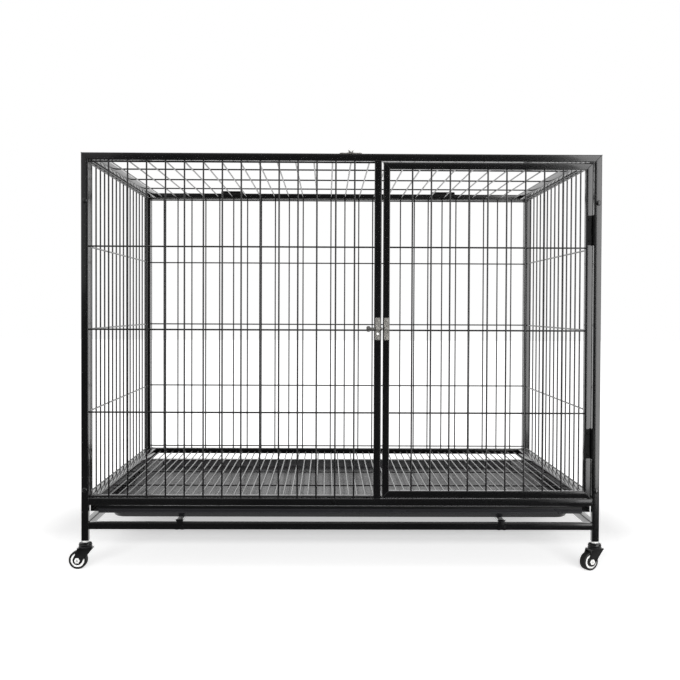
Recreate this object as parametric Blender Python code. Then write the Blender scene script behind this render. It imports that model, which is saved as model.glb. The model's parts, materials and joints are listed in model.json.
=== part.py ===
"""Heavy-duty dog crate on casters, built of square steel tube and welded wire.

Metres, +Z up. The origin is on the floor under the middle of the crate, the
door faces -Y and the door hinges are on the +X side.
"""

import math

import bmesh
import bpy
from mathutils import Matrix, Vector

# Overall cage
WIDTH = 1.092
DEPTH = 0.724
CAGE_HEIGHT = 0.740
TUBE = 0.015
GAP = 0.0003

# Heights of the stand, from the casters up
LEG_LENGTH = 0.024
TRAY_SLOT = 0.036

# Front opening and door
MIDDLE_POST_X = 0.076
DOOR_TUBE = 0.014
DOOR_LATCH_GAP = 0.0035
DOOR_HINGE_GAP = 0.004
DOOR_TOP_GAP = 0.003
DOOR_BOTTOM_GAP = 0.0025

# Lid and floor frames
LID_GAP = 0.003
LID_TUBE = 0.014
FLOOR_GAP = 0.0027
FLOOR_TUBE = 0.0145
FLOOR_RISE = 0.0025

# Welded wire
UPRIGHT_WIRE = 0.0026
CROSS_WIRE = 0.004
WELD_DEPTH = 0.0006
WIRE_PITCH = 0.0397
WIRE_MARGIN = 0.030
CROSS_PITCH_WALL = 0.1747
TOP_WIRE_INSET = 0.0025
FRONT_SILL_WIRE_INSET = 0.0025
SILL_WIRE_INSET = 0.007
CROSS_PITCH_LID = 0.172
CROSS_PITCH_FLOOR = 0.178
FLOOR_WIRE_PITCH = 0.0178
FLOOR_WIRE_MARGIN = 0.010
LID_WIRE_MARGIN = 0.015

# Tray and what carries it
TRAY_WALL = 0.0025
TRAY_DEPTH = 0.0126
TRAY_SIDE_GAP = 0.0062
TRAY_FRONT_INSET = 0.010
TRAY_BACK_INSET = 0.032
TRAY_RIM = 0.035
TRAY_TAPER = 0.0075
TRAY_LIP_DROP = 0.002
TRAY_LIP_HEIGHT = 0.015
TRAY_LIP = 0.003
TRAY_LIP_INSET = 0.011
RUNNER_PLATE = 0.0015
RUNNER_LEDGE = 0.018
SUPPORT_INSET = 0.207
SUPPORT_HEIGHT = 0.0065
SUPPORT_WIDTH = 0.012
HOOK_PLATE = 0.002
HOOK_WIDE = 0.017
HOOK_WAIST = 0.009
HOOK_RISE = 0.0025

# Frame bolts
BOLT_RISE = 0.017
BOLT_DROP = 0.086
BOLT_SHANK = 0.003
BOLT_HOLE = 0.0033
BOLT_HEAD = 0.0055
BOLT_HEAD_HEIGHT = 0.003
BOLT_BITE = 0.0094
BOLT_TIP_GAP = 0.0023

# Hinges
HINGE_HEIGHT = 0.062
HINGE_PLATE = 0.0015
HINGE_LEAF = 0.013
HINGE_BARREL = 0.004
HINGE_PIN = 0.002
HINGE_PIN_PLAY = 0.0003
HINGE_SLOT = 0.0003
DOOR_HINGE_RISE = 0.1175
DOOR_HINGE_DROP = 0.1435
LID_HINGE_INSET = 0.246

# Slide bolts
LATCH_RISE = 0.003
LATCH_X = 0.018
LATCH_PLATE = 0.0015
LATCH_PLATE_WIDTH = 0.011
LATCH_PLATE_HEIGHT = 0.047
LATCH_BOLT = 0.0032
LATCH_BORE = 0.0036
LATCH_BRIDGE = 0.0075
LATCH_REACH = 0.0003
DOOR_BOLT_LENGTH = 0.034
LID_BOLT_LENGTH = 0.030
LATCH_LUG = 0.008
LATCH_LUG_HEIGHT = 0.012

# Casters
WHEEL_RADIUS = 0.019
WHEEL_WIDTH = 0.016
WHEEL_SIDE_GAP = 0.001
CASTER_TRAIL = 0.015
FORK_PLATE = 0.002
FORK_EYE = 0.0095
CROWN_GAP = 0.004
CROWN_THICK = 0.003
CROWN_HALF = 0.0155
HEAD_RADIUS = 0.0135
HEAD_HEIGHT = 0.0075
RACE_THICK = 0.0035
NUT_RADIUS = 0.008
NUT_HEIGHT = 0.0033
STUD_RADIUS = 0.005
STUD_LENGTH = 0.020
AXLE_RADIUS = 0.003
AXLE_HEAD = 0.0062
AXLE_HEAD_THICK = 0.0025
RUNNING_GAP = 0.0004
CASTERS = {
    "front_left": (-1, -1, 0.0),
    "front_right": (1, -1, 25.0),
    "rear_left": (-1, 1, -25.0),
    "rear_right": (1, 1, 155.0),
}

HALF_WIDTH = WIDTH / 2
HALF_DEPTH = DEPTH / 2
INNER_X = HALF_WIDTH - TUBE
INNER_Y = HALF_DEPTH - TUBE
CROWN_Z = 2 * WHEEL_RADIUS + CROWN_GAP
HEAD_TOP_Z = CROWN_Z + CROWN_THICK + HEAD_HEIGHT
LEG_BOTTOM_Z = HEAD_TOP_Z + RUNNING_GAP + RACE_THICK + NUT_HEIGHT + GAP
BASE_RAIL_Z = LEG_BOTTOM_Z + LEG_LENGTH
FLOOR_RAIL_Z = BASE_RAIL_Z + TUBE + TRAY_SLOT
TOP_Z = FLOOR_RAIL_Z + CAGE_HEIGHT
TOP_RAIL_Z = TOP_Z - TUBE
FLOOR_TOP_Z = FLOOR_RAIL_Z + TUBE + FLOOR_RISE
SUPPORT_X = HALF_WIDTH - SUPPORT_INSET
TRAY_BOTTOM_Z = BASE_RAIL_Z + TUBE + SUPPORT_HEIGHT + 3 * GAP
RUNNER_LEDGE_Z = TRAY_BOTTOM_Z + TRAY_DEPTH
TRAY_LIP_Z = (
    RUNNER_LEDGE_Z - TRAY_LIP_DROP,
    RUNNER_LEDGE_Z - TRAY_LIP_DROP + TRAY_LIP_HEIGHT,
)
TRAY_RIM_HALF = INNER_X - GAP - RUNNER_PLATE - TRAY_SIDE_GAP
TRAY_PAN_HALF = TRAY_RIM_HALF - TRAY_RIM
TRAY_FRONT_Y = -HALF_DEPTH + TRAY_FRONT_INSET
TRAY_BACK_Y = HALF_DEPTH - TRAY_BACK_INSET
WINDOW_Z = (FLOOR_RAIL_Z + TUBE, TOP_RAIL_Z)
WINDOW_MIDDLE_Z = sum(WINDOW_Z) / 2
CORNER = (HALF_WIDTH - TUBE / 2, HALF_DEPTH - TUBE / 2)
BOLT_Z = (WINDOW_Z[0] + BOLT_RISE, WINDOW_Z[1] - BOLT_DROP)
BOLT_REACH = TUBE + GAP + BOLT_BITE
DOOR_HINGE_Z = (WINDOW_Z[0] + DOOR_HINGE_RISE, WINDOW_Z[1] - DOOR_HINGE_DROP)
LATCH_Z = WINDOW_MIDDLE_Z + LATCH_RISE
MIDDLE_POST = (MIDDLE_POST_X - TUBE / 2, MIDDLE_POST_X + TUBE / 2)
SIDE_HALF = INNER_Y - GAP

MATERIALS = {
    "black_paint": ((0.012, 0.012, 0.013), 0.28, 0.0),
    "black_wire": ((0.014, 0.014, 0.015), 0.32, 0.0),
    "tray_plastic": ((0.030, 0.030, 0.033), 0.45, 0.0),
    "nickel": ((0.560, 0.540, 0.500), 0.35, 1.0),
    "zinc": ((0.700, 0.700, 0.690), 0.30, 1.0),
    "wheel_rubber": ((0.020, 0.020, 0.020), 0.60, 0.0),
}


def clear_scene():
    for obj in list(bpy.data.objects):
        bpy.data.objects.remove(obj, do_unlink=True)


def new_collection(name):
    collection = bpy.data.collections.new(name)
    bpy.context.scene.collection.children.link(collection)
    return collection


def material(name):
    found = bpy.data.materials.get(name)
    if found:
        return found
    colour, roughness, metallic = MATERIALS[name]
    made = bpy.data.materials.new(name)
    made.use_nodes = True
    shader = made.node_tree.nodes["Principled BSDF"]
    shader.inputs["Base Color"].default_value = (*colour, 1.0)
    shader.inputs["Roughness"].default_value = roughness
    shader.inputs["Metallic"].default_value = metallic
    return made


def add_box(shape, low, high):
    """Adds a box between two corners to a bmesh."""
    size = Vector(high) - Vector(low)
    middle = (Vector(high) + Vector(low)) / 2
    place = Matrix.Translation(middle) @ Matrix.Diagonal((*size, 1.0))
    return bmesh.ops.create_cube(shape, size=1.0, matrix=place)["verts"]


def add_rod(shape, start, end, radius, sides):
    """Adds a capped cylinder between two points to a bmesh."""
    along = Vector(end) - Vector(start)
    middle = (Vector(end) + Vector(start)) / 2
    turn = Vector((0, 0, 1)).rotation_difference(along).to_matrix().to_4x4()
    bmesh.ops.create_cone(
        shape,
        cap_ends=True,
        segments=sides,
        radius1=radius,
        radius2=radius,
        depth=along.length,
        matrix=Matrix.Translation(middle) @ turn,
    )


def mesh_object(name, shape, collection, material_name=None):
    mesh = bpy.data.meshes.new(name)
    shape.to_mesh(mesh)
    shape.free()
    obj = bpy.data.objects.new(name, mesh)
    collection.objects.link(obj)
    if material_name:
        mesh.materials.append(material(material_name))
    return obj


def outline_object(name, loops, thickness, collection, material_name=None):
    """A flat plate in its local XY plane, from an outer loop and its holes, made a mesh."""
    curve = bpy.data.curves.new(name, "CURVE")
    curve.dimensions = "2D"
    curve.fill_mode = "BOTH"
    curve.extrude = thickness / 2
    for loop in loops:
        spline = curve.splines.new("POLY")
        spline.points.add(len(loop) - 1)
        for point, (u, v) in zip(spline.points, loop):
            point.co = (u, v, 0.0, 1.0)
        spline.use_cyclic_u = True
    drawn = bpy.data.objects.new(name + "_outline", curve)
    bpy.context.scene.collection.objects.link(drawn)
    bpy.context.view_layer.update()
    graph = bpy.context.evaluated_depsgraph_get()
    mesh = bpy.data.meshes.new_from_object(drawn.evaluated_get(graph))
    bpy.data.objects.remove(drawn, do_unlink=True)
    shape = bmesh.new()
    shape.from_mesh(mesh)
    bmesh.ops.remove_doubles(shape, verts=shape.verts, dist=1e-6)
    shape.to_mesh(mesh)
    shape.free()
    mesh.name = name
    obj = bpy.data.objects.new(name, mesh)
    collection.objects.link(obj)
    if material_name:
        mesh.materials.clear()
        mesh.materials.append(material(material_name))
    return obj


def rectangle(u_low, u_high, v_low, v_high):
    return [(u_low, v_low), (u_high, v_low), (u_high, v_high), (u_low, v_high)]


def inside(loop, u, v):
    """Whether a point lies inside one closed outline."""
    crossed = 0
    for (u_from, v_from), (u_to, v_to) in zip(loop, loop[1:] + loop[:1]):
        if (v_from > v) != (v_to > v):
            crossed += u < u_from + (v - v_from) * (u_to - u_from) / (v_to - v_from)
    return crossed % 2


def frame_object(name, loops, thickness, collection, material_name):
    """A flat plate in its local XY plane, from a right-angled outline and its holes.

    It is laid out in the cells between the outlines' own corners, so that edges
    always meet end to end, whatever the sizes are.
    """
    columns = sorted({round(u, 7) for loop in loops for u, _ in loop})
    rows = sorted({round(v, 7) for loop in loops for _, v in loop})
    shape = bmesh.new()
    corners = {}
    for u in zip(columns, columns[1:]):
        for v in zip(rows, rows[1:]):
            if sum(inside(loop, sum(u) / 2, sum(v) / 2) for loop in loops) % 2:
                cell = rectangle(*u, *v)
                for corner in cell:
                    if corner not in corners:
                        corners[corner] = shape.verts.new((*corner, -thickness / 2))
                shape.faces.new([corners[corner] for corner in cell])
    raised = bmesh.ops.extrude_face_region(shape, geom=shape.faces[:], use_keep_orig=True)
    raised = [item for item in raised["geom"] if isinstance(item, bmesh.types.BMVert)]
    bmesh.ops.translate(shape, verts=raised, vec=(0, 0, thickness))
    bmesh.ops.recalc_face_normals(shape, faces=shape.faces)
    return mesh_object(name, shape, collection, material_name)


def stand_facing_y(obj, y):
    """Turns a plate drawn in XY so that its drawing's Y is up and its middle lies at y."""
    obj.matrix_world = Matrix.Translation((0, y, 0)) @ Matrix.Rotation(math.pi / 2, 4, "X")


def stand_facing_x(obj, x):
    """Turns a plate drawn in XY so that its drawing's X runs along world Y and its Y is up."""
    turn = Matrix(((0, 0, 1, 0), (1, 0, 0, 0), (0, 1, 0, 0), (0, 0, 0, 1)))
    obj.matrix_world = Matrix.Translation((x, 0, 0)) @ turn


def boolean(obj, other, operation):
    modifier = obj.modifiers.new(operation.lower() + "_" + other.name, "BOOLEAN")
    modifier.operation = operation
    modifier.object = other
    modifier.solver = "EXACT"


def helper(obj):
    obj.hide_render = True
    obj.display_type = "WIRE"
    return obj


def wire_places(low, high, pitch, margin):
    """Centres of evenly pitched wires, centred between two faces."""
    count = int((high - low - 2 * margin) / pitch) + 1
    first = (low + high) / 2 - pitch * (count - 1) / 2
    return [first + pitch * index for index in range(count)]


def grille(name, uprights, crosses, u_span, v_span, thick_at, place, cage, helpers):
    """Welded wire in a local frame: uprights run along V, crosses along U, W is outward.

    thick_at is the W of the middle of the cross wires; the uprights are welded
    on their outer side and sink into them by the depth of the weld.
    """
    upright_w = thick_at + CROSS_WIRE / 2 - WELD_DEPTH
    shape = bmesh.new()
    for u in uprights:
        low = (u - UPRIGHT_WIRE / 2, v_span[0] + GAP, upright_w)
        high = (u + UPRIGHT_WIRE / 2, v_span[1] - GAP, upright_w + UPRIGHT_WIRE)
        add_box(shape, low, high)
    obj = mesh_object(name, shape, cage, "black_wire")
    shape = bmesh.new()
    for v in crosses:
        low = (u_span[0] + GAP, v - CROSS_WIRE / 2, thick_at - CROSS_WIRE / 2)
        high = (u_span[1] - GAP, v + CROSS_WIRE / 2, thick_at + CROSS_WIRE / 2)
        add_box(shape, low, high)
    cross = helper(mesh_object(name + "_cross_wires", shape, helpers))
    obj.matrix_world = place
    cross.matrix_world = place
    boolean(obj, cross, "UNION")
    return obj


FACING_FRONT = Matrix(((1, 0, 0, 0), (0, 0, -1, 0), (0, 1, 0, 0), (0, 0, 0, 1)))
FACING_BACK = Matrix(((-1, 0, 0, 0), (0, 0, 1, 0), (0, 1, 0, 0), (0, 0, 0, 1)))
FACING_LEFT = Matrix(((0, 0, -1, 0), (-1, 0, 0, 0), (0, 1, 0, 0), (0, 0, 0, 1)))
FACING_RIGHT = Matrix(((0, 0, 1, 0), (1, 0, 0, 0), (0, 1, 0, 0), (0, 0, 0, 1)))


def wall_crosses():
    return [WINDOW_MIDDLE_Z + CROSS_PITCH_WALL * step for step in (-1, 0, 1)]


def edged_crosses(sill_inset):
    """A wall's cross wires, with one along its sill and one along its top."""
    return [WINDOW_Z[0] + sill_inset, *wall_crosses(), WINDOW_Z[1] - TOP_WIRE_INSET]


def bolt_holes(name, helpers):
    """One helper with a hole for every frame bolt, front and back."""
    shape = bmesh.new()
    for side in (-1, 1):
        for end in (-1, 1):
            for z in BOLT_Z:
                start = (side * CORNER[0], end * (HALF_DEPTH + TUBE / 2), z)
                stop = (side * CORNER[0], end * (HALF_DEPTH - BOLT_REACH - BOLT_TIP_GAP), z)
                add_rod(shape, start, stop, BOLT_HOLE, 8)
    return helper(mesh_object(name, shape, helpers))


def stud_holes(name, helpers):
    shape = bmesh.new()
    for side in (-1, 1):
        for end in (-1, 1):
            x, y = side * CORNER[0], end * CORNER[1]
            low = (x, y, LEG_BOTTOM_Z - TUBE)
            high = (x, y, LEG_BOTTOM_Z + STUD_LENGTH + GAP)
            add_rod(shape, low, high, STUD_RADIUS + GAP, 10)
    return helper(mesh_object(name, shape, helpers))


def build_end_frames(cage, helpers, bolts, studs):
    """The front and back frames: corner posts down to the casters, and their rails."""
    outer = [
        (-HALF_WIDTH, LEG_BOTTOM_Z),
        (-INNER_X, LEG_BOTTOM_Z),
        (-INNER_X, BASE_RAIL_Z),
        (INNER_X, BASE_RAIL_Z),
        (INNER_X, LEG_BOTTOM_Z),
        (HALF_WIDTH, LEG_BOTTOM_Z),
        (HALF_WIDTH, TOP_Z),
        (-HALF_WIDTH, TOP_Z),
    ]
    slot = rectangle(-INNER_X, INNER_X, BASE_RAIL_Z + TUBE, FLOOR_RAIL_Z)
    left = rectangle(-INNER_X, MIDDLE_POST[0], *WINDOW_Z)
    right = rectangle(MIDDLE_POST[1], INNER_X, *WINDOW_Z)
    whole = rectangle(-INNER_X, INNER_X, *WINDOW_Z)
    plans = (
        ("front_frame", [outer, slot, left, right], -CORNER[1]),
        ("back_frame", [outer, slot, whole], CORNER[1]),
    )
    for name, loops, y in plans:
        frame = frame_object(name, loops, TUBE, cage, "black_paint")
        stand_facing_y(frame, y)
        boolean(frame, bolts, "DIFFERENCE")
        boolean(frame, studs, "DIFFERENCE")


def build_side_frames(cage, bolts):
    """The two side frames, bolted between the corner posts, and the base rails below them."""
    outer = rectangle(-SIDE_HALF, SIDE_HALF, FLOOR_RAIL_Z, TOP_Z)
    inner = rectangle(-SIDE_HALF + TUBE, SIDE_HALF - TUBE, *WINDOW_Z)
    for side, word in ((-1, "left"), (1, "right")):
        frame = frame_object(f"{word}_side_frame", [outer, inner], TUBE, cage, "black_paint")
        stand_facing_x(frame, side * CORNER[0])
        boolean(frame, bolts, "DIFFERENCE")
        shape = bmesh.new()
        x = sorted((side * INNER_X, side * HALF_WIDTH))
        add_box(shape, (x[0], -SIDE_HALF, BASE_RAIL_Z), (x[1], SIDE_HALF, BASE_RAIL_Z + TUBE))
        mesh_object(f"{word}_base_rail", shape, cage, "black_paint")


def build_wall_grilles(cage, helpers):
    crosses = edged_crosses(SILL_WIRE_INSET)
    front_crosses = edged_crosses(FRONT_SILL_WIRE_INSET)
    middle = -CROSS_WIRE / 2
    front_span = (-INNER_X, MIDDLE_POST[0])
    front = wire_places(*front_span, WIRE_PITCH, WIRE_MARGIN)
    place = Matrix.Translation((0, -CORNER[1], 0)) @ FACING_FRONT
    grille("front_grille", front, front_crosses, front_span, WINDOW_Z, middle, place, cage, helpers)
    back_span = (-INNER_X, INNER_X)
    back = wire_places(*back_span, WIRE_PITCH, WIRE_MARGIN)
    place = Matrix.Translation((0, CORNER[1], 0)) @ FACING_BACK
    grille("back_grille", back, crosses, back_span, WINDOW_Z, middle, place, cage, helpers)
    side_span = (-SIDE_HALF + TUBE, SIDE_HALF - TUBE)
    side = wire_places(*side_span, WIRE_PITCH, WIRE_MARGIN)
    for x, turn, word in ((-CORNER[0], FACING_LEFT, "left"), (CORNER[0], FACING_RIGHT, "right")):
        place = Matrix.Translation((x, 0, 0)) @ turn
        name = f"{word}_side_grille"
        grille(name, side, crosses, side_span, WINDOW_Z, middle, place, cage, helpers)


def build_floor(cage, helpers):
    """The floor frame and the close-pitched grid that the dog stands on."""
    half = (INNER_X - FLOOR_GAP, INNER_Y - LID_GAP)
    outer = rectangle(-half[0], half[0], -half[1], half[1])
    clear = (half[0] - FLOOR_TUBE, half[1] - FLOOR_TUBE)
    inner = rectangle(-clear[0], clear[0], -clear[1], clear[1])
    frame = frame_object("floor_frame", [outer, inner], FLOOR_TUBE, cage, "black_paint")
    frame.location = (0, 0, FLOOR_TOP_Z - FLOOR_TUBE / 2)
    wires = wire_places(-clear[0], clear[0], FLOOR_WIRE_PITCH, FLOOR_WIRE_MARGIN)
    crosses = [CROSS_PITCH_FLOOR * step for step in (-1, 0, 1)]
    place = Matrix.Translation((0, 0, FLOOR_TOP_Z - FLOOR_TUBE / 2 - CROSS_WIRE / 2))
    spans = ((-clear[0], clear[0]), (-clear[1], clear[1]))
    grille("floor_grid", wires, crosses, *spans, 0.0, place, cage, helpers)


def build_lid(cage, helpers):
    half = (INNER_X - LID_GAP, INNER_Y - LID_GAP)
    clear = (half[0] - LID_TUBE, half[1] - LID_TUBE)
    outer = rectangle(-half[0], half[0], -half[1], half[1])
    inner = rectangle(-clear[0], clear[0], -clear[1], clear[1])
    frame = frame_object("lid_frame", [outer, inner], LID_TUBE, cage, "black_paint")
    frame.location = (0, 0, TOP_Z - LID_TUBE / 2)
    wires = wire_places(-clear[0], clear[0], WIRE_PITCH, LID_WIRE_MARGIN)
    crosses = [CROSS_PITCH_LID * step for step in (-1, 0, 1)]
    place = Matrix.Translation((0, 0, TOP_Z - LID_TUBE / 2)) @ Matrix.Rotation(math.pi, 4, "Y")
    spans = ((-clear[0], clear[0]), (-clear[1], clear[1]))
    grid = grille("lid_grille", wires, crosses, *spans, 0.0, place, cage, helpers)
    return [frame, grid]


def build_door(cage, helpers):
    x = (MIDDLE_POST[1] + DOOR_LATCH_GAP, INNER_X - DOOR_HINGE_GAP)
    z = (WINDOW_Z[0] + DOOR_BOTTOM_GAP, WINDOW_Z[1] - DOOR_TOP_GAP)
    outer = rectangle(*x, *z)
    clear_x = (x[0] + DOOR_TUBE, x[1] - DOOR_TUBE)
    clear_z = (z[0] + DOOR_TUBE, z[1] - DOOR_TUBE)
    inner = rectangle(*clear_x, *clear_z)
    frame = frame_object("door_frame", [outer, inner], DOOR_TUBE, cage, "black_paint")
    middle_y = -HALF_DEPTH + DOOR_TUBE / 2
    stand_facing_y(frame, middle_y)
    wires = wire_places(*clear_x, WIRE_PITCH, WIRE_MARGIN)
    place = Matrix.Translation((0, middle_y, 0)) @ FACING_FRONT
    spans = (clear_x, clear_z)
    grid = grille(
        "door_grille", wires, wall_crosses(), *spans, -CROSS_WIRE / 2, place, cage, helpers
    )
    return [frame, grid]


def hinge(name, place, cage, helpers):
    """A butt hinge drawn with its pin on the local Z axis.

    The moving panel lies towards -X with its outer face at +Y = barrel radius
    plus gap; the fixed leaf stands in the slot on the +X side of the pin.
    """
    face = HINGE_BARREL + GAP
    third = HINGE_HEIGHT / 6
    half = HINGE_HEIGHT / 2
    shape = bmesh.new()
    leaf_x = HINGE_PLATE / 2
    add_box(shape, (0.0, -0.0002, -half), (HINGE_PLATE, face + HINGE_LEAF, half))
    fixed = mesh_object(name + "_fixed_leaf", shape, cage, "black_paint")
    shape = bmesh.new()
    middle_low = (-HINGE_BARREL * 1.5, -HINGE_BARREL * 1.5, -third - HINGE_SLOT)
    middle_high = (HINGE_BARREL * 1.5, HINGE_BARREL * 1.5, third + HINGE_SLOT)
    add_box(shape, middle_low, middle_high)
    notch = helper(mesh_object(name + "_notch", shape, helpers))
    shape = bmesh.new()
    add_rod(shape, (0, 0, -half), (0, 0, half), HINGE_BARREL, 12)
    barrel = helper(mesh_object(name + "_outer_barrel", shape, helpers))
    shape = bmesh.new()
    add_rod(shape, (0, 0, -half + leaf_x), (0, 0, half - leaf_x), HINGE_PIN, 8)
    pin = helper(mesh_object(name + "_pin", shape, helpers))
    boolean(fixed, barrel, "UNION")
    boolean(fixed, notch, "DIFFERENCE")
    boolean(fixed, pin, "UNION")

    shape = bmesh.new()
    low = (-HINGE_BARREL / 2 - HINGE_LEAF, HINGE_BARREL - HINGE_PLATE, -half)
    add_box(shape, low, (-HINGE_BARREL - 2 * GAP, HINGE_BARREL, half))
    middle = (-HINGE_BARREL / 2 - HINGE_LEAF, HINGE_BARREL - HINGE_PLATE, -third)
    moving = mesh_object(name + "_moving_leaf", shape, cage, "black_paint")
    shape = bmesh.new()
    add_box(shape, middle, (0.0, HINGE_BARREL, third))
    strap = helper(mesh_object(name + "_strap", shape, helpers))
    shape = bmesh.new()
    add_rod(shape, (0, 0, -third), (0, 0, third), HINGE_BARREL, 12)
    knuckle = helper(mesh_object(name + "_knuckle", shape, helpers))
    shape = bmesh.new()
    add_rod(shape, (0, 0, -half), (0, 0, half), HINGE_PIN + HINGE_PIN_PLAY, 8)
    bore = helper(mesh_object(name + "_bore", shape, helpers))
    boolean(moving, strap, "UNION")
    boolean(moving, knuckle, "UNION")
    boolean(moving, bore, "DIFFERENCE")
    for obj in (fixed, notch, barrel, pin, moving, strap, knuckle, bore):
        obj.matrix_world = place
    return moving


def slide_bolt(name, length, place, cage, helpers):
    """A slide bolt drawn with the gap between its two members at X = 0.

    The fixed member lies towards -X, the moving one towards +X, both with
    their outer faces at Y = 0 and outward along -Y; the bolt slides along X.
    """
    plate_y = (-GAP - LATCH_PLATE, -GAP)
    bolt_y = plate_y[0] - GAP - LATCH_BOLT
    bridge_y = (bolt_y - LATCH_BOLT - LATCH_PLATE, plate_y[1])
    half = LATCH_PLATE_HEIGHT / 2
    bore_shape = bmesh.new()
    add_rod(bore_shape, (-0.05, bolt_y, 0), (0.05, bolt_y, 0), LATCH_BORE, 10)
    bore = helper(mesh_object(name + "_bore", bore_shape, helpers))
    pieces = [bore]
    for word, sign in (("plate", -1), ("keeper", 1)):
        centre = sign * (DOOR_LATCH_GAP / 2 + TUBE / 2)
        x = (centre - LATCH_PLATE_WIDTH / 2, centre + LATCH_PLATE_WIDTH / 2)
        shape = bmesh.new()
        add_box(shape, (x[0], plate_y[0], -half), (x[1], plate_y[1], half))
        plate = mesh_object(f"{name}_{word}", shape, cage, "nickel")
        shape = bmesh.new()
        inset = LATCH_PLATE
        low = (x[0] + inset, bridge_y[0], -LATCH_BRIDGE)
        add_box(shape, low, (x[1] - inset, bridge_y[1] - GAP, LATCH_BRIDGE))
        bridge = helper(mesh_object(f"{name}_{word}_bridge", shape, helpers))
        boolean(plate, bridge, "UNION")
        boolean(plate, bore, "DIFFERENCE")
        pieces += [plate, bridge]
    tip = DOOR_LATCH_GAP / 2 - LATCH_REACH - LATCH_BOLT / 8
    shape = bmesh.new()
    add_rod(shape, (tip - length, bolt_y, 0), (tip, bolt_y, 0), LATCH_BOLT, 10)
    sliding = mesh_object(name + "_bolt", shape, cage, "nickel")
    shape = bmesh.new()
    lug_x = (tip - length - GAP, tip - length + LATCH_LUG)
    thick = LATCH_BOLT * 0.4
    add_box(
        shape,
        (lug_x[0], bolt_y - thick, -LATCH_LUG_HEIGHT / 2),
        (lug_x[1], bolt_y + thick, LATCH_LUG_HEIGHT / 2),
    )
    lug = helper(mesh_object(name + "_lug", shape, helpers))
    boolean(sliding, lug, "UNION")
    for obj in (*pieces, sliding, lug):
        obj.matrix_world = place
    return pieces[3], sliding


def build_bolts(cage, helpers):
    for side, side_word in ((-1, "left"), (1, "right")):
        for end, end_word in ((-1, "front"), (1, "rear")):
            for z, height_word in zip(BOLT_Z, ("lower", "upper")):
                name = f"{end_word}_{side_word}_{height_word}_bolt"
                x = side * CORNER[0]
                face = end * (HALF_DEPTH + GAP)
                shape = bmesh.new()
                head_top = face + end * BOLT_HEAD_HEIGHT
                add_rod(shape, (x, face, z), (x, head_top, z), BOLT_HEAD, 12)
                bolt = mesh_object(name, shape, cage, "black_paint")
                shape = bmesh.new()
                tip = end * (HALF_DEPTH - BOLT_REACH)
                add_rod(shape, (x, face + end * GAP, z), (x, tip, z), BOLT_SHANK, 8)
                shank = helper(mesh_object(name + "_shank", shape, helpers))
                boolean(bolt, shank, "UNION")


def build_runners(cage):
    """Folded side runners: the upper ledge carries the floor frame, the lower one the tray."""
    web = INNER_X - GAP
    inner_web = web - RUNNER_PLATE
    upper_top = FLOOR_TOP_Z - FLOOR_TUBE - GAP
    upper = (upper_top - RUNNER_PLATE, upper_top)
    lower = (RUNNER_LEDGE_Z, RUNNER_LEDGE_Z + RUNNER_PLATE)
    ledge = inner_web - RUNNER_LEDGE
    section = [
        (web, lower[0]),
        (web, WINDOW_Z[0] - GAP),
        (inner_web, WINDOW_Z[0] - GAP),
        (inner_web, upper[1]),
        (ledge, upper[1]),
        (ledge, upper[0]),
        (inner_web, upper[0]),
        (inner_web, lower[1]),
        (ledge, lower[1]),
        (ledge, lower[0]),
    ]
    length = 2 * (INNER_Y - LID_GAP)
    for side, word in ((-1, "left"), (1, "right")):
        loop = [(side * u, v) for u, v in section]
        runner = frame_object(f"{word}_tray_runner", [loop], length, cage, "black_paint")
        stand_facing_y(runner, 0.0)


def build_supports(cage, helpers):
    """Bars under the tray that hook over the front base rail."""
    rail_top = BASE_RAIL_Z + TUBE + GAP
    bar_top = TRAY_BOTTOM_Z - GAP
    hook_top = bar_top
    hook_bottom = BASE_RAIL_Z + GAP
    waist_z = rail_top - HOOK_RISE
    middle = (hook_bottom + waist_z) / 2
    slot = HOOK_WAIST / 2
    for side, word in ((-1, "left"), (1, "right")):
        name = f"{word}_tray_support"
        x = side * SUPPORT_X
        outline = [
            (x - slot / 2, hook_bottom),
            (x - slot / 2, middle - slot / 2),
            (x + slot / 2, middle - slot / 2),
            (x + slot / 2, hook_bottom),
            (x + HOOK_WIDE / 2, hook_bottom),
            (x + HOOK_WIDE / 2, middle),
            (x + HOOK_WAIST / 2, waist_z),
            (x + HOOK_WIDE / 2, hook_top),
            (x - HOOK_WIDE / 2, hook_top),
            (x - HOOK_WAIST / 2, waist_z),
            (x - HOOK_WIDE / 2, middle),
            (x - HOOK_WIDE / 2, hook_bottom),
        ]
        hook = outline_object(name, [outline], HOOK_PLATE, cage, "black_paint")
        stand_facing_y(hook, -HALF_DEPTH - GAP - HOOK_PLATE / 2)
        shape = bmesh.new()
        low = (x - SUPPORT_WIDTH / 2, -HALF_DEPTH - GAP - HOOK_PLATE / 2, rail_top)
        add_box(shape, low, (x + SUPPORT_WIDTH / 2, HALF_DEPTH, bar_top - GAP))
        bar = helper(mesh_object(name + "_bar", shape, helpers))
        boolean(hook, bar, "UNION")


def add_pan(shape, half_top, half_bottom, front, back, low, high, taper):
    """Adds a block to a bmesh whose lower face is drawn in by the taper."""
    verts = add_box(shape, (-half_top, front, low), (half_top, back, high))
    for vert in verts:
        if vert.co.z < (low + high) / 2:
            vert.co.x *= half_bottom / half_top
            vert.co.y += taper if vert.co.y < (front + back) / 2 else -taper


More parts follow.
